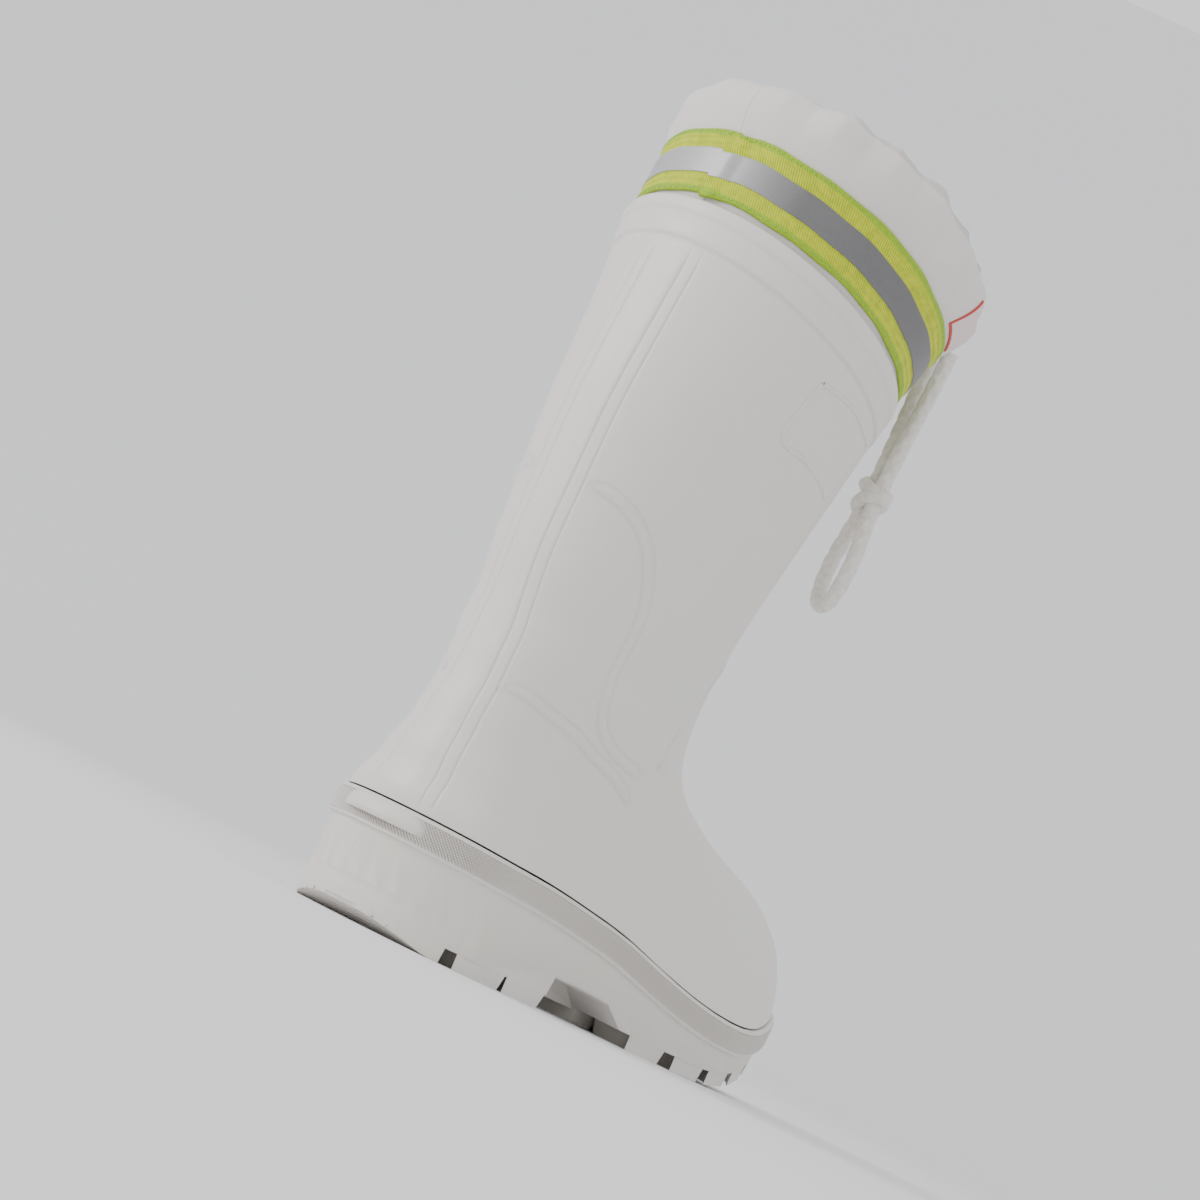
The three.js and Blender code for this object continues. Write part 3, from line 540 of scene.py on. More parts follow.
# Rim of the upper, from the line under its band, over its lip and down its inner face.
RIM_COLUMNS = ["level", "out"]
RIM = [
    (RIM_FROM - 0.0035, 0),
    (RIM_FROM - 0.0024, -0.5),
    (RIM_FROM - 0.001, -0.55),
    (RIM_FROM, 0.3),
    (RIM_FROM + 0.0015, RIM_OUT * 0.9),
    (RIM_FROM + 0.004, RIM_OUT),
    (0.9865, RIM_OUT),
    (0.9875, RIM_OUT - 0.3),
    (0.989, RIM_OUT - 0.35),
    (0.9902, RIM_OUT + 0.1),
    (0.992, RIM_OUT + 0.3),
    (0.996, RIM_OUT + 0.3),
    (0.9985, RIM_OUT),
    (1.0, RIM_OUT * 0.3),
    (1.0, -0.6),
    (1.0, -1.6),
    (0.9985, -2.1),
    (0.996, -WALL),
]


def strip_turn(level):
    rows = np.array(BACK_STRIP)
    return np.interp(level, rows[:, 1], rows[:, 0])


def upper_piece():
    rows = np.linspace(0, RIM_FROM - 0.0045, UPPER_ROWS)
    near = np.sort([side * STRIP_HALF + o for side in (-1, 1) for o in GROOVE_COLUMNS])

    def close_turns(level):
        speed = float(np.linalg.norm(skin(level, 0.534) - skin(level, 0.532)) / 0.002)
        return strip_turn(level) + near / speed, speed

    sample = close_turns(0.5)[0]
    spacing = 0.5 + np.linspace(0, 0.5, LOW_SIDE)[1:-1]
    low_count = int((spacing < sample[0] - 0.0015).sum())
    high_count = int((spacing > sample[-1] + 0.0015).sum())
    grid = []
    for level in rows:
        close, speed = close_turns(level)
        low = np.linspace(0.5, close[0], low_count + 2)[:-1]
        high = np.linspace(close[-1], 1.0, high_count + 2)[1:-1]
        half = np.concatenate([low, close, high])
        turns = np.concatenate([half, [1.0], (2.0 - half[1:])[::-1]])
        out = np.zeros(len(turns))
        for side in (-1, 1):
            line = strip_turn(level) + side * STRIP_HALF / speed
            for place in (line, 2 - line):
                out -= GROOVE * np.exp(-(((turns - place) * speed / GROOVE_HALF) ** 2))
        off_back = np.minimum(np.abs(turns - 0.5), np.abs(turns - 1.5)) * speed
        out -= CENTRE_GROOVE * np.exp(-((off_back / 0.7) ** 2))
        out += FLUTES * np.cos(off_back * TURN / 5.2) * (off_back < 9)
        fade = np.clip((0.965 - level) / 0.01, 0, 1) * np.clip((level - 0.02) / 0.03, 0, 1)
        grid.append(skin_out(np.full(len(turns), level), turns, out * fade))
    around = np.full(len(turns), 1.0)
    for level, out in RIM:
        grid.append(skin_out(around * level, turns, around * out))
    for level in np.linspace(0.98, 0.02, INNER_ROWS):
        thick = WALL + 2 * max(1 - level / 0.2, 0)
        grid.append(skin_out(around * level, turns, -around * thick))
    sheets = Sheets()
    sheets.add(np.stack(grid), closed_columns=True)

    soft = [(-2.8, -0.12), (-1.7, 0.12), (-0.8, 0.45), (0, 0.66), (0.8, 0.45), (1.7, 0.12), (2.8, -0.12)]
    thin = [(-0.9, -0.15), (-0.6, 0.4), (-0.28, 0.62), (0.28, 0.62), (0.6, 0.4), (0.9, -0.15)]
    for mirrored in (False, True):
        sheets.add(ridge(EAR_RIDGE, soft, 90, mirrored, 0.06))
        sheets.add(ridge(LOW_RIDGE, soft, 60, mirrored, 0.12))
        sheets.add(ridge(FRONT_LINE, thin, 80, mirrored, 0.03))
    sheets.add(ridge(BADGE_FRAME, thin, 140))
    piece = sheets.piece("moulded_upper")
    piece.data.materials.append(upper_rubber)
    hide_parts("upper")
    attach(piece, "root")
    return piece


upper_piece()


# Outsole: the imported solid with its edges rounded, and a knurled face on its band.
EDGE_ROUND = 0.45
KNURL_PITCH = 1.25
KNURL_DEPTH = 0.75
KNURL_EDGE = 1.2
KNURL_FLOOR = 0.05
BEAD = 0.45


def sole_piece():
    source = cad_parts["outsole"]
    mesh = source.data.copy()
    piece = bpy.data.objects.new("dressed_outsole", mesh)
    bpy.context.scene.collection.objects.link(piece)
    mesh.materials.clear()
    mesh.materials.append(sole_rubber)
    bpy.context.view_layer.objects.active = piece
    for other in bpy.context.selected_objects:
        other.select_set(False)
    piece.select_set(True)
    bpy.ops.object.mode_set(mode="EDIT")
    bpy.ops.mesh.select_all(action="SELECT")
    bpy.ops.mesh.remove_doubles(threshold=1e-6)
    bpy.ops.mesh.customdata_custom_splitnormals_clear()
    bpy.ops.mesh.dissolve_limited(angle_limit=math.radians(1.0))
    bpy.ops.object.mode_set(mode="OBJECT")
    rounding = piece.modifiers.new("rounding", "BEVEL")
    rounding.width = EDGE_ROUND * MM
    rounding.segments = 2
    rounding.limit_method = "ANGLE"
    rounding.angle_limit = math.radians(34)
    bpy.ops.object.modifier_apply(modifier=rounding.name)
    piece.data.shade_smooth()
    piece.data.set_sharp_from_angle(angle=math.radians(38))
    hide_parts("outsole")
    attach(piece, "root")
    return piece


def even_turns(count, out):
    """Turns of points that lie evenly round the sole's outline."""
    fine = np.linspace(0, 1, 4001)
    steps = np.linalg.norm(np.diff(outline_point(fine, out), axis=0), axis=1)
    run = np.concatenate([[0], np.cumsum(steps)])
    return np.interp(np.arange(count) * run[-1] / count, run, fine), run[-1]


def knurl_material():
    """The sole's rubber, with painted shade darkening the grooves between the diamonds."""
    made = rubber_material("knurled_rubber_groove_shade", SOLE_TINT, 0.5, 0.05)
    g = Graph(made)
    parts = g.node("ShaderNodeSeparateXYZ")
    g.link(g.uv(), parts.inputs[0])
    across = [
        g.math("ABSOLUTE", g.math("COSINE", g.math("MULTIPLY", line, math.pi / KNURL_PITCH)))
        for line in (
            g.math("ADD", parts.outputs[0], parts.outputs[1]),
            g.math("SUBTRACT", parts.outputs[0], parts.outputs[1]),
        )
    ]
    # painted shade: the base colour darkens along the grooves between the diamonds, where shade would fall
    groove_shade = g.math("MINIMUM", across[0], across[1])
    dark = tuple(c * 0.58 for c in SOLE_TINT)
    stops = [(0.05, dark), (0.55, SOLE_TINT)]
    g.link(g.ramp(groove_shade, stops), g.shader.inputs["Base Color"])
    return made


def band_piece():
    """Face of the band: diamond knurling, with a thin bead over it."""
    girth = even_turns(2, BAND_OUT)[1]
    columns = 2 * int(girth / KNURL_PITCH)
    turns = even_turns(columns, BAND_OUT)[0]
    rows = 2 * int((BAND - 1 - 2 * KNURL_EDGE) / KNURL_PITCH)
    low = -BAND + 0.5 + KNURL_EDGE
    high = -0.5 - KNURL_EDGE
    profile = [(-BAND + 0.5, -0.2), (-BAND + 0.7, 0.12), (low - 0.3, 0.12)]
    grid = [(drop, np.full(columns, out)) for drop, out in profile]
    for r, drop in enumerate(np.linspace(low, high, rows + 1)):
        raised = (np.arange(columns) + r) % 2 == 0
        grid.append((drop, KNURL_FLOOR + KNURL_DEPTH * raised))
    edge = [
        (high + 0.2, 0), (high + 0.35, BEAD * 0.8), (high + 0.6, BEAD), (high + 0.85, BEAD * 0.8),
        (high + 1.0, 0), (-0.5, -0.2),
    ]
    grid += [(drop, np.full(columns, out)) for drop, out in edge]
    points = []
    for drop, out in grid:
        flat = outline_point(turns, BAND_OUT + out)
        points.append(np.column_stack([flat, band_top(flat[:, 0] / LENGTH) + drop]))
    run = np.arange(columns) * girth / columns
    knurled = [low - 1e-6 <= drop <= high + 1e-6 for drop, _ in grid]
    uv = [
        np.stack([run * keep, np.full(columns, (drop - low) * keep)], -1)
        for keep, (drop, _) in zip(knurled, grid)
    ]
    sheets = Sheets()
    sheets.add(np.stack(points), closed_columns=True, uv=np.stack(uv))
    piece = sheets.piece("band_knurling", smooth=False)
    piece.data.materials.append(knurl_material())
    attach(piece, "root")
    return piece


sole_piece()
band_piece()


# Cuff, tape, stripe and label share the plane of the rim.
rim = skin(np.full(AROUND, 1.0), ring)
rim_centre = rim.mean(0)
rim_back = skin(1.0, 0.5)
rim_front = skin(1.0, 0.0)
rim_up = np.cross(rim_front - rim_back, [0, 1, 0])
rim_up /= np.linalg.norm(rim_up)
rim_half = (1.043 * BALL + (rim_front[0] - rim_back[0]) / 2) / 2
girth = TURN * rim_half


def cuff_point(turn, up, out=0.0):
    """Point on the cuff at a turn and a share of its height, moved outwards by mm."""
    turn, up, out = np.broadcast_arrays(*(np.asarray(v, float) for v in (turn, up, out)))
    wide = cuff_wide(up) + out / rim_half
    return (
        rim_centre
        + (skin(1.0, turn) - rim_centre) * wide[..., None]
        + rim_up * (up[..., None] * CUFF)
    )


def smooth_step(x):
    x = np.clip(x, 0, 1)
    return x * x * (3 - 2 * x)


def corner_value(turn, name, dip):
    """Value of the outline's corners at a turn: straight sides between them."""
    rows = np.array(CORNERS)
    at = rows[:, 0]
    value = rows[:, CORNER_COLUMNS.index(name)]
    between = (at + np.append(at[1:], at[0] + 1)) / 2
    nodes = np.concatenate([at, between])
    values = np.concatenate([value, np.full(len(at), dip)])
    order = np.argsort(nodes)
    return np.interp(np.mod(turn, 1), nodes[order], values[order], period=1)


PUFF = 5.5  # how far the cloth bulges over the outer side, in mm
PUFF_TURN = 0.72
PUFF_WIDE = 0.17
PUFF_RISE = 3.0
SEAM_DEPTH = 0.45
FINE_PLEATS = 43


def puff_share(turn):
    return np.exp(-(((np.mod(turn, 1) - PUFF_TURN) / PUFF_WIDE) ** 2))


def puff(turn, up):
    """How far the cuff bulges over the outer side, in mm."""
    return PUFF * puff_share(turn) * smooth_step((up - 0.25) / 0.72)


def cloth_out(turn, up):
    """How far the cloth's folds stand out of the plain cuff, in mm."""
    turn, up = np.broadcast_arrays(np.asarray(turn, float), np.asarray(up, float))
    rise = smooth_step((up - 0.56) / 0.34)
    out = rise * (corner_value(turn, "out", -0.7) - 0.3)
    out += puff(turn, up)
    out += 0.35 * rise * np.sin(TURN * 5 * turn + 7 * up) + 0.25 * rise * np.sin(TURN * 11 * turn - 9 * up)
    pleat = smooth_step((up - 0.9) / 0.1)
    out += 0.3 * pleat * np.sin(TURN * FINE_PLEATS * turn + 2 * np.sin(TURN * 3 * turn))
    seam = (turn - 0.5) * girth
    lap = 0.3 * smooth_step(seam / 0.5 + 0.5) * smooth_step((7 - seam) / 6)
    out += (lap - SEAM_DEPTH * np.exp(-((seam / 0.45) ** 2))) * (up > 0)
    return out


def cloth_up(turn, up):
    """Height of the cloth at a turn, raised at the outline's corners."""
    rise = smooth_step((up - 0.75) / 0.25) * corner_value(turn, "rise", -0.6)
    return up + (rise + PUFF_RISE * puff_share(turn) * smooth_step((up - 0.6) / 0.4)) / CUFF


def cloth_material(name, color, weave, sheen=0.2):
    made = material(name, color, 0.85, Sheen_Weight=sheen)
    g = Graph(made)
    parts = g.node("ShaderNodeSeparateXYZ")
    g.link(g.uv(), parts.inputs[0])
    warp = g.math("SINE", g.math("MULTIPLY", parts.outputs[0], TURN / weave))
    weft = g.math("SINE", g.math("MULTIPLY", parts.outputs[1], TURN / weave))
    threads = g.math("MULTIPLY", warp, weft)
    slub = g.noise(500, 2, 0.6)
    g.bump(g.math("MULTIPLY_ADD", slub, 0.8, threads), 0.08 * MM, 0.6)
    tone = g.noise(60, 3, 0.5)
    dark = tuple(c * 0.96 for c in color)
    g.link(g.ramp(tone, [(0.3, dark), (0.7, color)]), g.shader.inputs["Base Color"])
    return made


cuff_cloth = cloth_material("cuff_cloth", (0.80, 0.765, 0.73), 0.55)
HEM_ROLL = 1.7  # radius of the rolled hem round the opening
CURL = [(1.0, 0), (1.006, -1.5), (1.006, -3.2), (0.995, -4.6)]


def cuff_piece():
    seam_columns = 0.5 + np.array([-1.6, -1.1, -0.7, -0.4, -0.2, 0, 0.2, 0.4, 0.7, 1.1, 1.6]) / girth
    turns = np.linspace(0, 1, 430, endpoint=False)
    turns = np.sort(np.concatenate([turns[np.abs(turns - 0.5) > 2.2 / girth], seam_columns]))
    ups = np.concatenate([np.linspace(-0.16, 0.5, 18), np.linspace(0.53, 0.99, 36)])
    outer = [cuff_point(turns, cloth_up(turns, up), cloth_out(turns, up)) for up in ups]
    for up, inward in CURL:
        outer.append(cuff_point(turns, cloth_up(turns, 1.0), cloth_out(turns, 1.0) + inward))
        outer[-1] = outer[-1] + rim_up * ((up - 1.0) * CUFF)
    hem = outer[-1]
    centre = hem.mean(0)
    inward = centre - hem
    inward /= np.linalg.norm(inward, axis=1, keepdims=True)
    pleat = 1 + 0.3 * np.sin(TURN * FINE_PLEATS * turns)[:, None]
    for angle in np.radians([35, 75, 115, 160, 205, 250, 290]):
        reach = HEM_ROLL * pleat * (1 - math.cos(angle) * 0.5 - 0.5)
        outer.append(
            hem
            + inward * (HEM_ROLL * pleat * math.sin(angle) + 0.4 * pleat)
            - rim_up * (HEM_ROLL * pleat * (1 - math.cos(angle)))
            + inward * reach * 0
        )
    thin = CLOTH * 0.55
    inner = []
    for up in ups[::-1]:
        low = up - 2.2 * smooth_step((up - 0.7) / 0.3) / CUFF
        inner.append(cuff_point(turns, cloth_up(turns, low), cloth_out(turns, up) - thin))
    grid = np.stack(outer + inner)
    run = np.linalg.norm(np.diff(grid[:, 0], axis=0), axis=1)
    drop = np.concatenate([[0], np.cumsum(run)])
    uv = np.stack(np.broadcast_arrays(turns[None, :] * girth, drop[:, None]), -1)
    sheets = Sheets()
    sheets.add(grid, closed_rows=True, closed_columns=True, uv=uv)
    piece = sheets.piece("gathered_cuff")
    piece.data.materials.append(cuff_cloth)
    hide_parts("cuff")
    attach(piece, "root")
    return piece


cuff = cuff_piece()


def tape_material():
    made = material("hi_vis_webbing", (0.52, 0.62, 0.02), 0.7, Sheen_Weight=0.08)
    g = Graph(made)
    parts = g.node("ShaderNodeSeparateXYZ")
    g.link(g.uv(), parts.inputs[0])
    slanted = g.math("ADD", parts.outputs[0], g.math("MULTIPLY", parts.outputs[1], 0.35))
    rib = g.math("SINE", g.math("MULTIPLY", slanted, TURN / RIB_PITCH))
    cross = g.math("SINE", g.math("MULTIPLY", parts.outputs[1], TURN / 0.6))
    g.bump(g.math("MULTIPLY_ADD", cross, 0.25, rib), 0.1 * MM, 0.7)
    tone = g.math("MULTIPLY_ADD", rib, 0.25, g.noise(300, 3, 0.6))
    cloth = g.ramp(tone, [(0.2, (0.36, 0.45, 0.002)), (0.75, (0.64, 0.71, 0.008))])
    middle_line = (TAPE_FOOT + TAPE / CUFF / 2) * CUFF
    off = g.math("ABSOLUTE", g.math("SUBTRACT", parts.outputs[1], middle_line))
    edge = g.math("GREATER_THAN", off, TAPE / 2 - EDGE_BAND)
    mixed = g.node("ShaderNodeMix", data_type="RGBA")
    g.link(g.math("MULTIPLY", edge, 0.55), mixed.inputs["Factor"])
    g.link(cloth, mixed.inputs["A"])
    mixed.inputs["B"].default_value = (0.22, 0.5, 0.01, 1)
    g.link(mixed.outputs["Result"], g.shader.inputs["Base Color"])
    return made


def film_material():
    """Grey reflective film: a fine grid of beads, with a painted reflection that makes it paler at the
    back and on the inner side.
    """
    made = material("reflective_film", (0.16, 0.16, 0.165), 0.45, Metallic=0.25)
    g = Graph(made)
    parts = g.node("ShaderNodeSeparateXYZ")
    g.link(g.uv(), parts.inputs[0])
    lines = g.math("SINE", g.math("MULTIPLY", parts.outputs[1], TURN / 0.7))
    g.bump(g.math("MULTIPLY_ADD", g.noise(900, 2, 0.6), 1.0, lines), 0.03 * MM, 0.5)
    # painted reflection: the base colour turns pale round the back and the inner side, by place round the
    # cuff
    share = g.math("DIVIDE", parts.outputs[0], girth)
    share = g.math("MULTIPLY_ADD", g.noise(40, 2, 0.5), 0.02, share)
    stops = [
        (0.3, (0.17, 0.17, 0.175)), (0.4, (0.42, 0.42, 0.43)), (0.505, (0.5, 0.5, 0.5)),
        (0.56, (0.3, 0.3, 0.3)), (0.6, (0.16, 0.158, 0.16)),
    ]
    g.link(g.ramp(share, stops), g.shader.inputs["Base Color"])
    return made


RIB_PITCH = 0.95
RIB_HIGH = 0.09
EDGE_BAND = 2.2  # greener border of the tape
LAP = 0.008  # overlap of the tape's ends, as a share of a turn
TAPE_THICK = 0.9
FILM_THICK = 0.3
JOINT = 0.5  # where the tape's outer end lies


def strip_lift(turns):
    """How far a strip round the cuff stands off where its ends lap, and how far it is lowered."""
    past = (turns - (JOINT - LAP / 2)) * girth
    over = 1 - smooth_step((past - LAP * girth - 1) / 5)
    return 1.3 * TAPE_THICK * over, 1.5 * (1 - smooth_step(past / 12))


def strip_piece(name, low, high, gap, thick, finish, node, columns, ribs=0.0):
    """A strip round the cuff between two heights, whose outer end laps over its inner end."""
    turns = np.linspace(JOINT - LAP / 2, JOINT + 1 + LAP / 2, columns)
    lift, lowered = strip_lift(turns)
    across = np.linspace(0, 1, 11)
    edge = 0.3 / (high - low) / CUFF
    section = [(0, 0), (0, 0.6), (edge, 1)]
    section += [(share, 1) for share in across[1:-1]]
    section += [(1 - edge, 1), (1, 0.6), (1, 0), (0.5, 0)]
    wave = 0.25 * np.sin(TURN * 6 * turns + 1) + 0.15 * np.sin(TURN * 17 * turns)
    grid = []
    uv = []
    for share, full in section:
        up = low + (high - low) * share + (wave - lowered) / CUFF
        height = thick * full
        if full == 1 and ribs:
            height = height + ribs * np.sin(TURN * (turns * girth + 0.35 * up * CUFF) / RIB_PITCH)
        grid.append(cuff_point(turns, up, gap + lift + height + puff(turns, up)))
        uv.append(np.stack([np.mod(turns, 1) * girth, up * CUFF], -1))
    grid = np.stack(grid, 1)
    sheets = Sheets()
    sheets.add(grid, closed_columns=True, uv=np.stack(uv, 1))
    count = len(section)
    sheets.faces.append(list(range(count)))
    sheets.faces.append([(columns - 1) * count + i for i in reversed(range(count))])
    piece = sheets.piece(name)
    piece.data.materials.append(finish)
    piece.data.set_sharp_from_angle(angle=math.radians(50))
    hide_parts(node)
    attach(piece, "root")
    return piece


STITCH_PITCH = 1.9
STITCH_HALF = 0.75
STITCH_RADIUS = 0.3


def stitch_piece(low, high):
    """Slanted stitches along both edges of the tape."""
    sheets = Sheets()
    count = int(girth / STITCH_PITCH)
    for row, inset in ((low, 1.1), (high, -1.1)):
        for k in range(count):
            turn = JOINT + LAP / 2 + (k + 0.5) / count * (1 - LAP)
            lift, lowered = strip_lift(np.array([turn]))
            wave = 0.25 * math.sin(TURN * 6 * turn + 1) + 0.15 * math.sin(TURN * 17 * turn)
            slant = 0.45 if k % 2 else -0.45
            rings = []
            for t, fat in ((-1, 0.25), (-0.6, 0.9), (0, 1), (0.6, 0.9), (1, 0.25)):
                up = row + (inset + wave - lowered[0] + t * slant) / CUFF
                at = turn + t * STITCH_HALF / girth
                off = FIT + TAPE_THICK + lift[0] + puff(at, up)
                base = cuff_point(at, up, off)
                out = cuff_point(at, up, off + 1) - base
                radius = STITCH_RADIUS * fat
                rings.append(
                    [base + out * (radius * math.sin(a)) + rim_up * (radius * math.cos(a))
                     for a in np.linspace(-0.5, math.pi + 0.5, 6)]
                )
            sheets.add(np.array(rings))
    piece = sheets.piece("tape_stitches")
    piece.data.materials.append(stitch_thread)
    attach(piece, "root")
    return piece


def thread_material(name, color):
    made = material(name, color, 0.6, Sheen_Weight=0.2)
    g = Graph(made)
    g.bump(g.noise(1800, 2, 0.5), 0.05 * MM, 0.6)
    dark = tuple(c * 0.8 for c in color)
    g.link(g.ramp(g.noise(700, 2, 0.5), [(0.3, dark), (0.7, color)]), g.shader.inputs["Base Color"])
    return made


stitch_thread = thread_material("stitch_thread", (0.3, 0.56, 0.03))
tape_high = TAPE_FOOT + TAPE / CUFF
stripe_low = TAPE_FOOT + (TAPE - STRIPE) / 2 / CUFF
tape = strip_piece(
    "webbing_tape", TAPE_FOOT, tape_high, FIT, TAPE_THICK, tape_material(),
    "hi_vis_tape", 1640, RIB_HIGH,
)
film = strip_piece(
    "reflective_band", stripe_low, stripe_low + STRIPE / CUFF, 2 * FIT + TAPE_THICK - 0.2, FILM_THICK,
    film_material(), "reflective_stripe", 420,
)
stitches = stitch_piece(TAPE_FOOT, tape_high)


def label_material():
    """Pale woven label with a red line along its lower and its rear edge."""
    made = material("label_cloth", (0.8, 0.66, 0.66), 0.65)
    g = Graph(made)
    parts = g.node("ShaderNodeSeparateXYZ")
    g.link(g.uv(), parts.inputs[0])
    nearest = g.math("MINIMUM", parts.outputs[0], parts.outputs[1])
    g.link(
        g.ramp(nearest, [(0.0, (0.6, 0.06, 0.04)), (0.75, (0.6, 0.06, 0.04)), (0.8, (0.8, 0.66, 0.66))]),
        g.shader.inputs["Base Color"],
    )
    threads = g.math("SINE", g.math("MULTIPLY", parts.outputs[1], TURN / 0.4))
    g.bump(threads, 0.05 * MM, 0.5)
    return made


def label_piece():
    turns = np.linspace(LABEL["from"], LABEL["to"], 26)
    ups = np.linspace(LABEL["low"], LABEL["high"], 18)
    flat_turns, flat_ups = np.meshgrid(turns, ups)
    out = cloth_out(flat_turns, flat_ups)
    heights = cloth_up(flat_turns, flat_ups)
    across = (flat_turns - turns[0]) * girth
    upward = (flat_ups - ups[0]) * CUFF
    uv = np.stack([across, upward], -1)
    sheets = Sheets()
    front = cuff_point(flat_turns, heights, out + 0.65)
    back = cuff_point(flat_turns, heights, out + 0.2)
    loop_front = np.concatenate([front, back[:, ::-1]], 1)
    sheets.add(loop_front, closed_columns=True, uv=np.concatenate([uv, uv[:, ::-1]], 1))
    width = 2 * len(turns)
    for row in (0, len(ups) - 1):
        for c in range(len(turns) - 1):
            far = width - 1 - c
            quad = [row * width + i for i in (c, c + 1, far - 1, far)]
            sheets.faces.append(quad if row else quad[::-1])
    piece = sheets.piece("side_label")
    piece.data.materials.append(label_material())
    piece.data.set_sharp_from_angle(angle=math.radians(50))
    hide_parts("label")
    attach(piece, "root")
    return piece


label = label_piece()


def insole_material():
    """Felted insole cover: short mottled nap."""
    made = material("insole_foam", (0.55, 0.53, 0.5), 0.9, Sheen_Weight=0.3)
    g = Graph(made)
    fibre = g.noise(900, 4, 0.7)
    g.bump(fibre, 0.25 * MM, 0.7)
    g.link(
        g.ramp(g.noise(220, 4, 0.6), [(0.25, (0.47, 0.45, 0.42)), (0.75, (0.6, 0.58, 0.55))]),
        g.shader.inputs["Base Color"],
    )
    return made


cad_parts["insole"].data.materials[0] = insole_material()


def cord_material():
    made = material("cord_cotton", (0.8, 0.77, 0.71), 0.9, Sheen_Weight=0.4)
    g = Graph(made)
    g.bump(g.noise(1500, 3, 0.6), 0.12 * MM, 0.6)
    g.link(
        g.ramp(g.noise(420, 3, 0.6), [(0.3, (0.7, 0.66, 0.6)), (0.7, (0.83, 0.8, 0.75))]),
        g.shader.inputs["Base Color"],
    )
    return made


cord_cotton = cord_material()


def smooth_path(points, count):
    points = np.asarray(points, float)
    at = np.concatenate([[0], np.cumsum(np.sqrt(np.linalg.norm(np.diff(points, axis=0), axis=1)))])
    fine = np.linspace(0, at[-1], 1200)
    before = np.maximum(np.arange(len(at)) - 1, 0)
    after = np.minimum(np.arange(len(at)) + 1, len(at) - 1)
    slope = (points[after] - points[before]) / (at[after] - at[before])[:, None]
    i = np.clip(np.searchsorted(at, fine, side="right") - 1, 0, len(at) - 2)
    step = (at[i + 1] - at[i])[:, None]
    s = ((fine - at[i]) / step[:, 0])[:, None]
    curve = (
        (2 * s**3 - 3 * s**2 + 1) * points[i]
        + (s**3 - 2 * s**2 + s) * step * slope[i]
        + (3 * s**2 - 2 * s**3) * points[i + 1]
        + (s**3 - s**2) * step * slope[i + 1]
    )
    run = np.concatenate([[0], np.cumsum(np.linalg.norm(np.diff(curve, axis=0), axis=1))])
    want = np.linspace(0, run[-1], count)
    return np.column_stack([np.interp(want, run, curve[:, k]) for k in range(3)]), run[-1]


def tube(path, radius, sides, closed=False, braid=0.0, pitch=7.0):
    """Tube along a path, with a braid's bumps on it."""
    tangent = np.gradient(path, axis=0)
    if closed:
        tangent = np.roll(path, -1, 0) - np.roll(path, 1, 0)
    tangent /= np.linalg.norm(tangent, axis=1, keepdims=True)
    normal = np.zeros_like(path)
    start = np.cross(tangent[0], [0.3, 0.9, 0.1])
    normal[0] = start / np.linalg.norm(start)
    for i in range(1, len(path)):
        bent = normal[i - 1] - tangent[i] * (normal[i - 1] @ tangent[i])
        normal[i] = bent / np.linalg.norm(bent)
    side = np.cross(tangent, normal)
    run = np.concatenate([[0], np.cumsum(np.linalg.norm(np.diff(path, axis=0), axis=1))])
    angles = np.arange(sides) / sides * TURN
    grid = np.zeros((len(path), sides, 3))
    for k, a in enumerate(angles):
        twist = TURN * run / pitch
        weave = np.maximum(np.sin(4 * a + twist), np.sin(4 * a - twist + math.pi))
        lift = radius * (1 - braid) + radius * braid * weave
        grid[:, k] = path + (normal * math.cos(a) + side * math.sin(a)) * lift[:, None]
    return grid


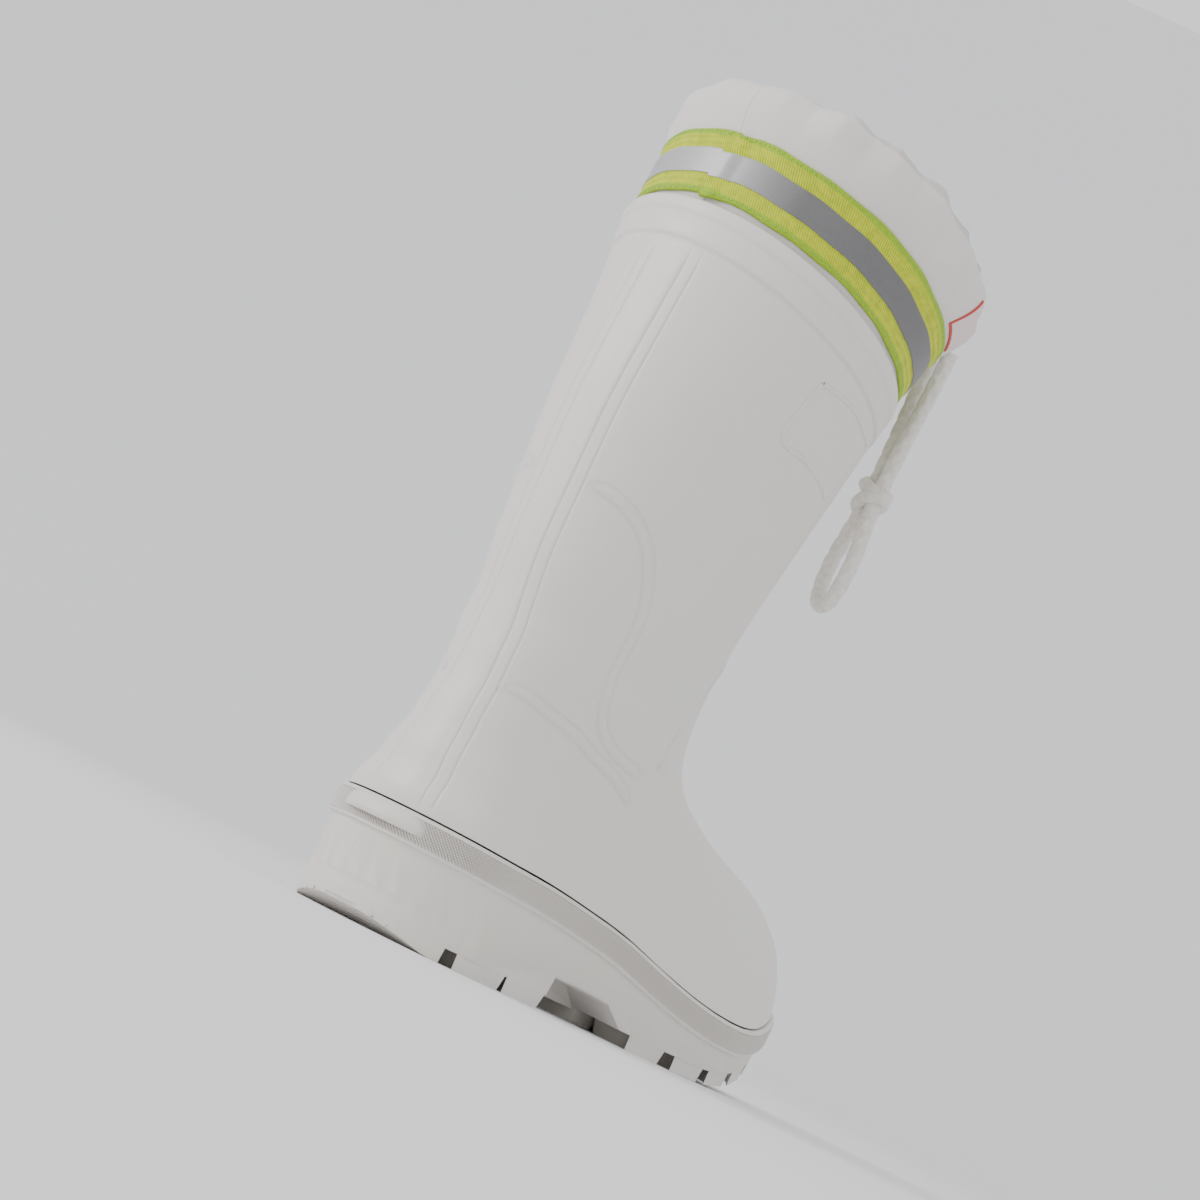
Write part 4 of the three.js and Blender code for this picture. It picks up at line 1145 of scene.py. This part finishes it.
def cord_piece():
    """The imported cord's route: two strands out of the cuff, a knot and a hanging loop."""
    hem = cuff_point(CORD_TURN, CORD_OUT)
    aside = cuff_point(CORD_TURN + 0.01, CORD_OUT) - cuff_point(CORD_TURN - 0.01, CORD_OUT)
    aside[2] = 0
    aside /= np.linalg.norm(aside)
    down = np.array([0, 0, -1.0])
    ahead = np.cross(down, aside)

    def place(out, beside, below):
        return hem + ahead * out + aside * beside + down * below

    one = [place(a, s, d) for a, s, d in STRAND]
    two = [place(a, -s, d) for a, s, d in reversed(STRAND)]
    path, length = smooth_path(one + two, 520)
    sheets = Sheets()
    sheets.add(tube(path, CORD / 2, 24, braid=0.09), closed_columns=True)
    piece = sheets.piece("braided_drawcord")
    piece.data.materials.append(cord_cotton)
    knot = Sheets()
    for tilt, drop, turned in ((0.42, 2.6, 0.3), (-0.36, -2.4, -0.25)):
        a = np.linspace(0, TURN, 90, endpoint=False)
        out = 3.9 * np.sin(a) + turned * np.cos(a)
        loop = [
            place(KNOT_AHEAD + o, 6.2 * math.cos(k), KNOT_DOWN + tilt * 6.0 * math.cos(k) + drop)
            for o, k in zip(out, a)
        ]
        grid = tube(np.array(loop), CORD / 2 * 0.92, 20, closed=True, braid=0.09)
        knot.add(grid, closed_rows=True, closed_columns=True)
    knot_piece = knot.piece("drawcord_knot")
    knot_piece.data.materials.append(cord_cotton)
    for made in (piece, knot_piece):
        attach(made, "root")
    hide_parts("drawcord")


cord_piece()


# Stage: a pale floor that runs up into a low round wall, and soft lights.
STAGE_FLAT = 1.4
STAGE_BEND = 1.1
STAGE_TOP = 1.3


def add_stage():
    grey = material("stage_grey", (0.86, 0.86, 0.87), 0.9)
    profile = [(0.0, 0.0), (STAGE_FLAT * 0.5, 0.0), (STAGE_FLAT, 0.0)]
    for k in range(1, 17):
        a = k / 16 * math.pi / 2
        profile.append((STAGE_FLAT + STAGE_BEND * math.sin(a), STAGE_BEND * (1 - math.cos(a))))
    profile.append((STAGE_FLAT + STAGE_BEND, STAGE_TOP))
    steps = 96
    points = []
    for radius, height in profile:
        for k in range(steps):
            a = k / steps * TURN
            points.append((radius * math.cos(a), radius * math.sin(a), height))
    mesh = bpy.data.meshes.new("stage_floor")
    mesh.from_pydata(points, [], grid_faces(len(profile), steps, closed_columns=True))
    mesh.shade_smooth()
    mesh.materials.append(grey)
    floor = bpy.data.objects.new("stage_floor", mesh)
    bpy.context.scene.collection.objects.link(floor)
    world = bpy.data.worlds.new("studio")
    world.use_nodes = True
    world.node_tree.nodes["Background"].inputs[0].default_value = (0.96, 0.965, 0.98, 1)
    world.node_tree.nodes["Background"].inputs[1].default_value = 1.15
    bpy.context.scene.world = world


def add_light(name, place, size, power, target=(0, 0, 0.15), color=(1, 1, 1)):
    data = bpy.data.lights.new(name, "AREA")
    data.shape = "RECTANGLE"
    data.size, data.size_y = size
    data.energy = power
    data.color = color
    light = bpy.data.objects.new(name, data)
    light.location = place
    aim = Vector(target) - Vector(place)
    light.rotation_euler = aim.to_track_quat("-Z", "Y").to_euler()
    bpy.context.scene.collection.objects.link(light)
    return light


add_stage()
add_light("key_light", (-1.25, 0.85, 0.8), (0.8, 0.8), 14)
add_light("fill_light", (-0.9, -1.3, 0.7), (1.2, 1.0), 2)
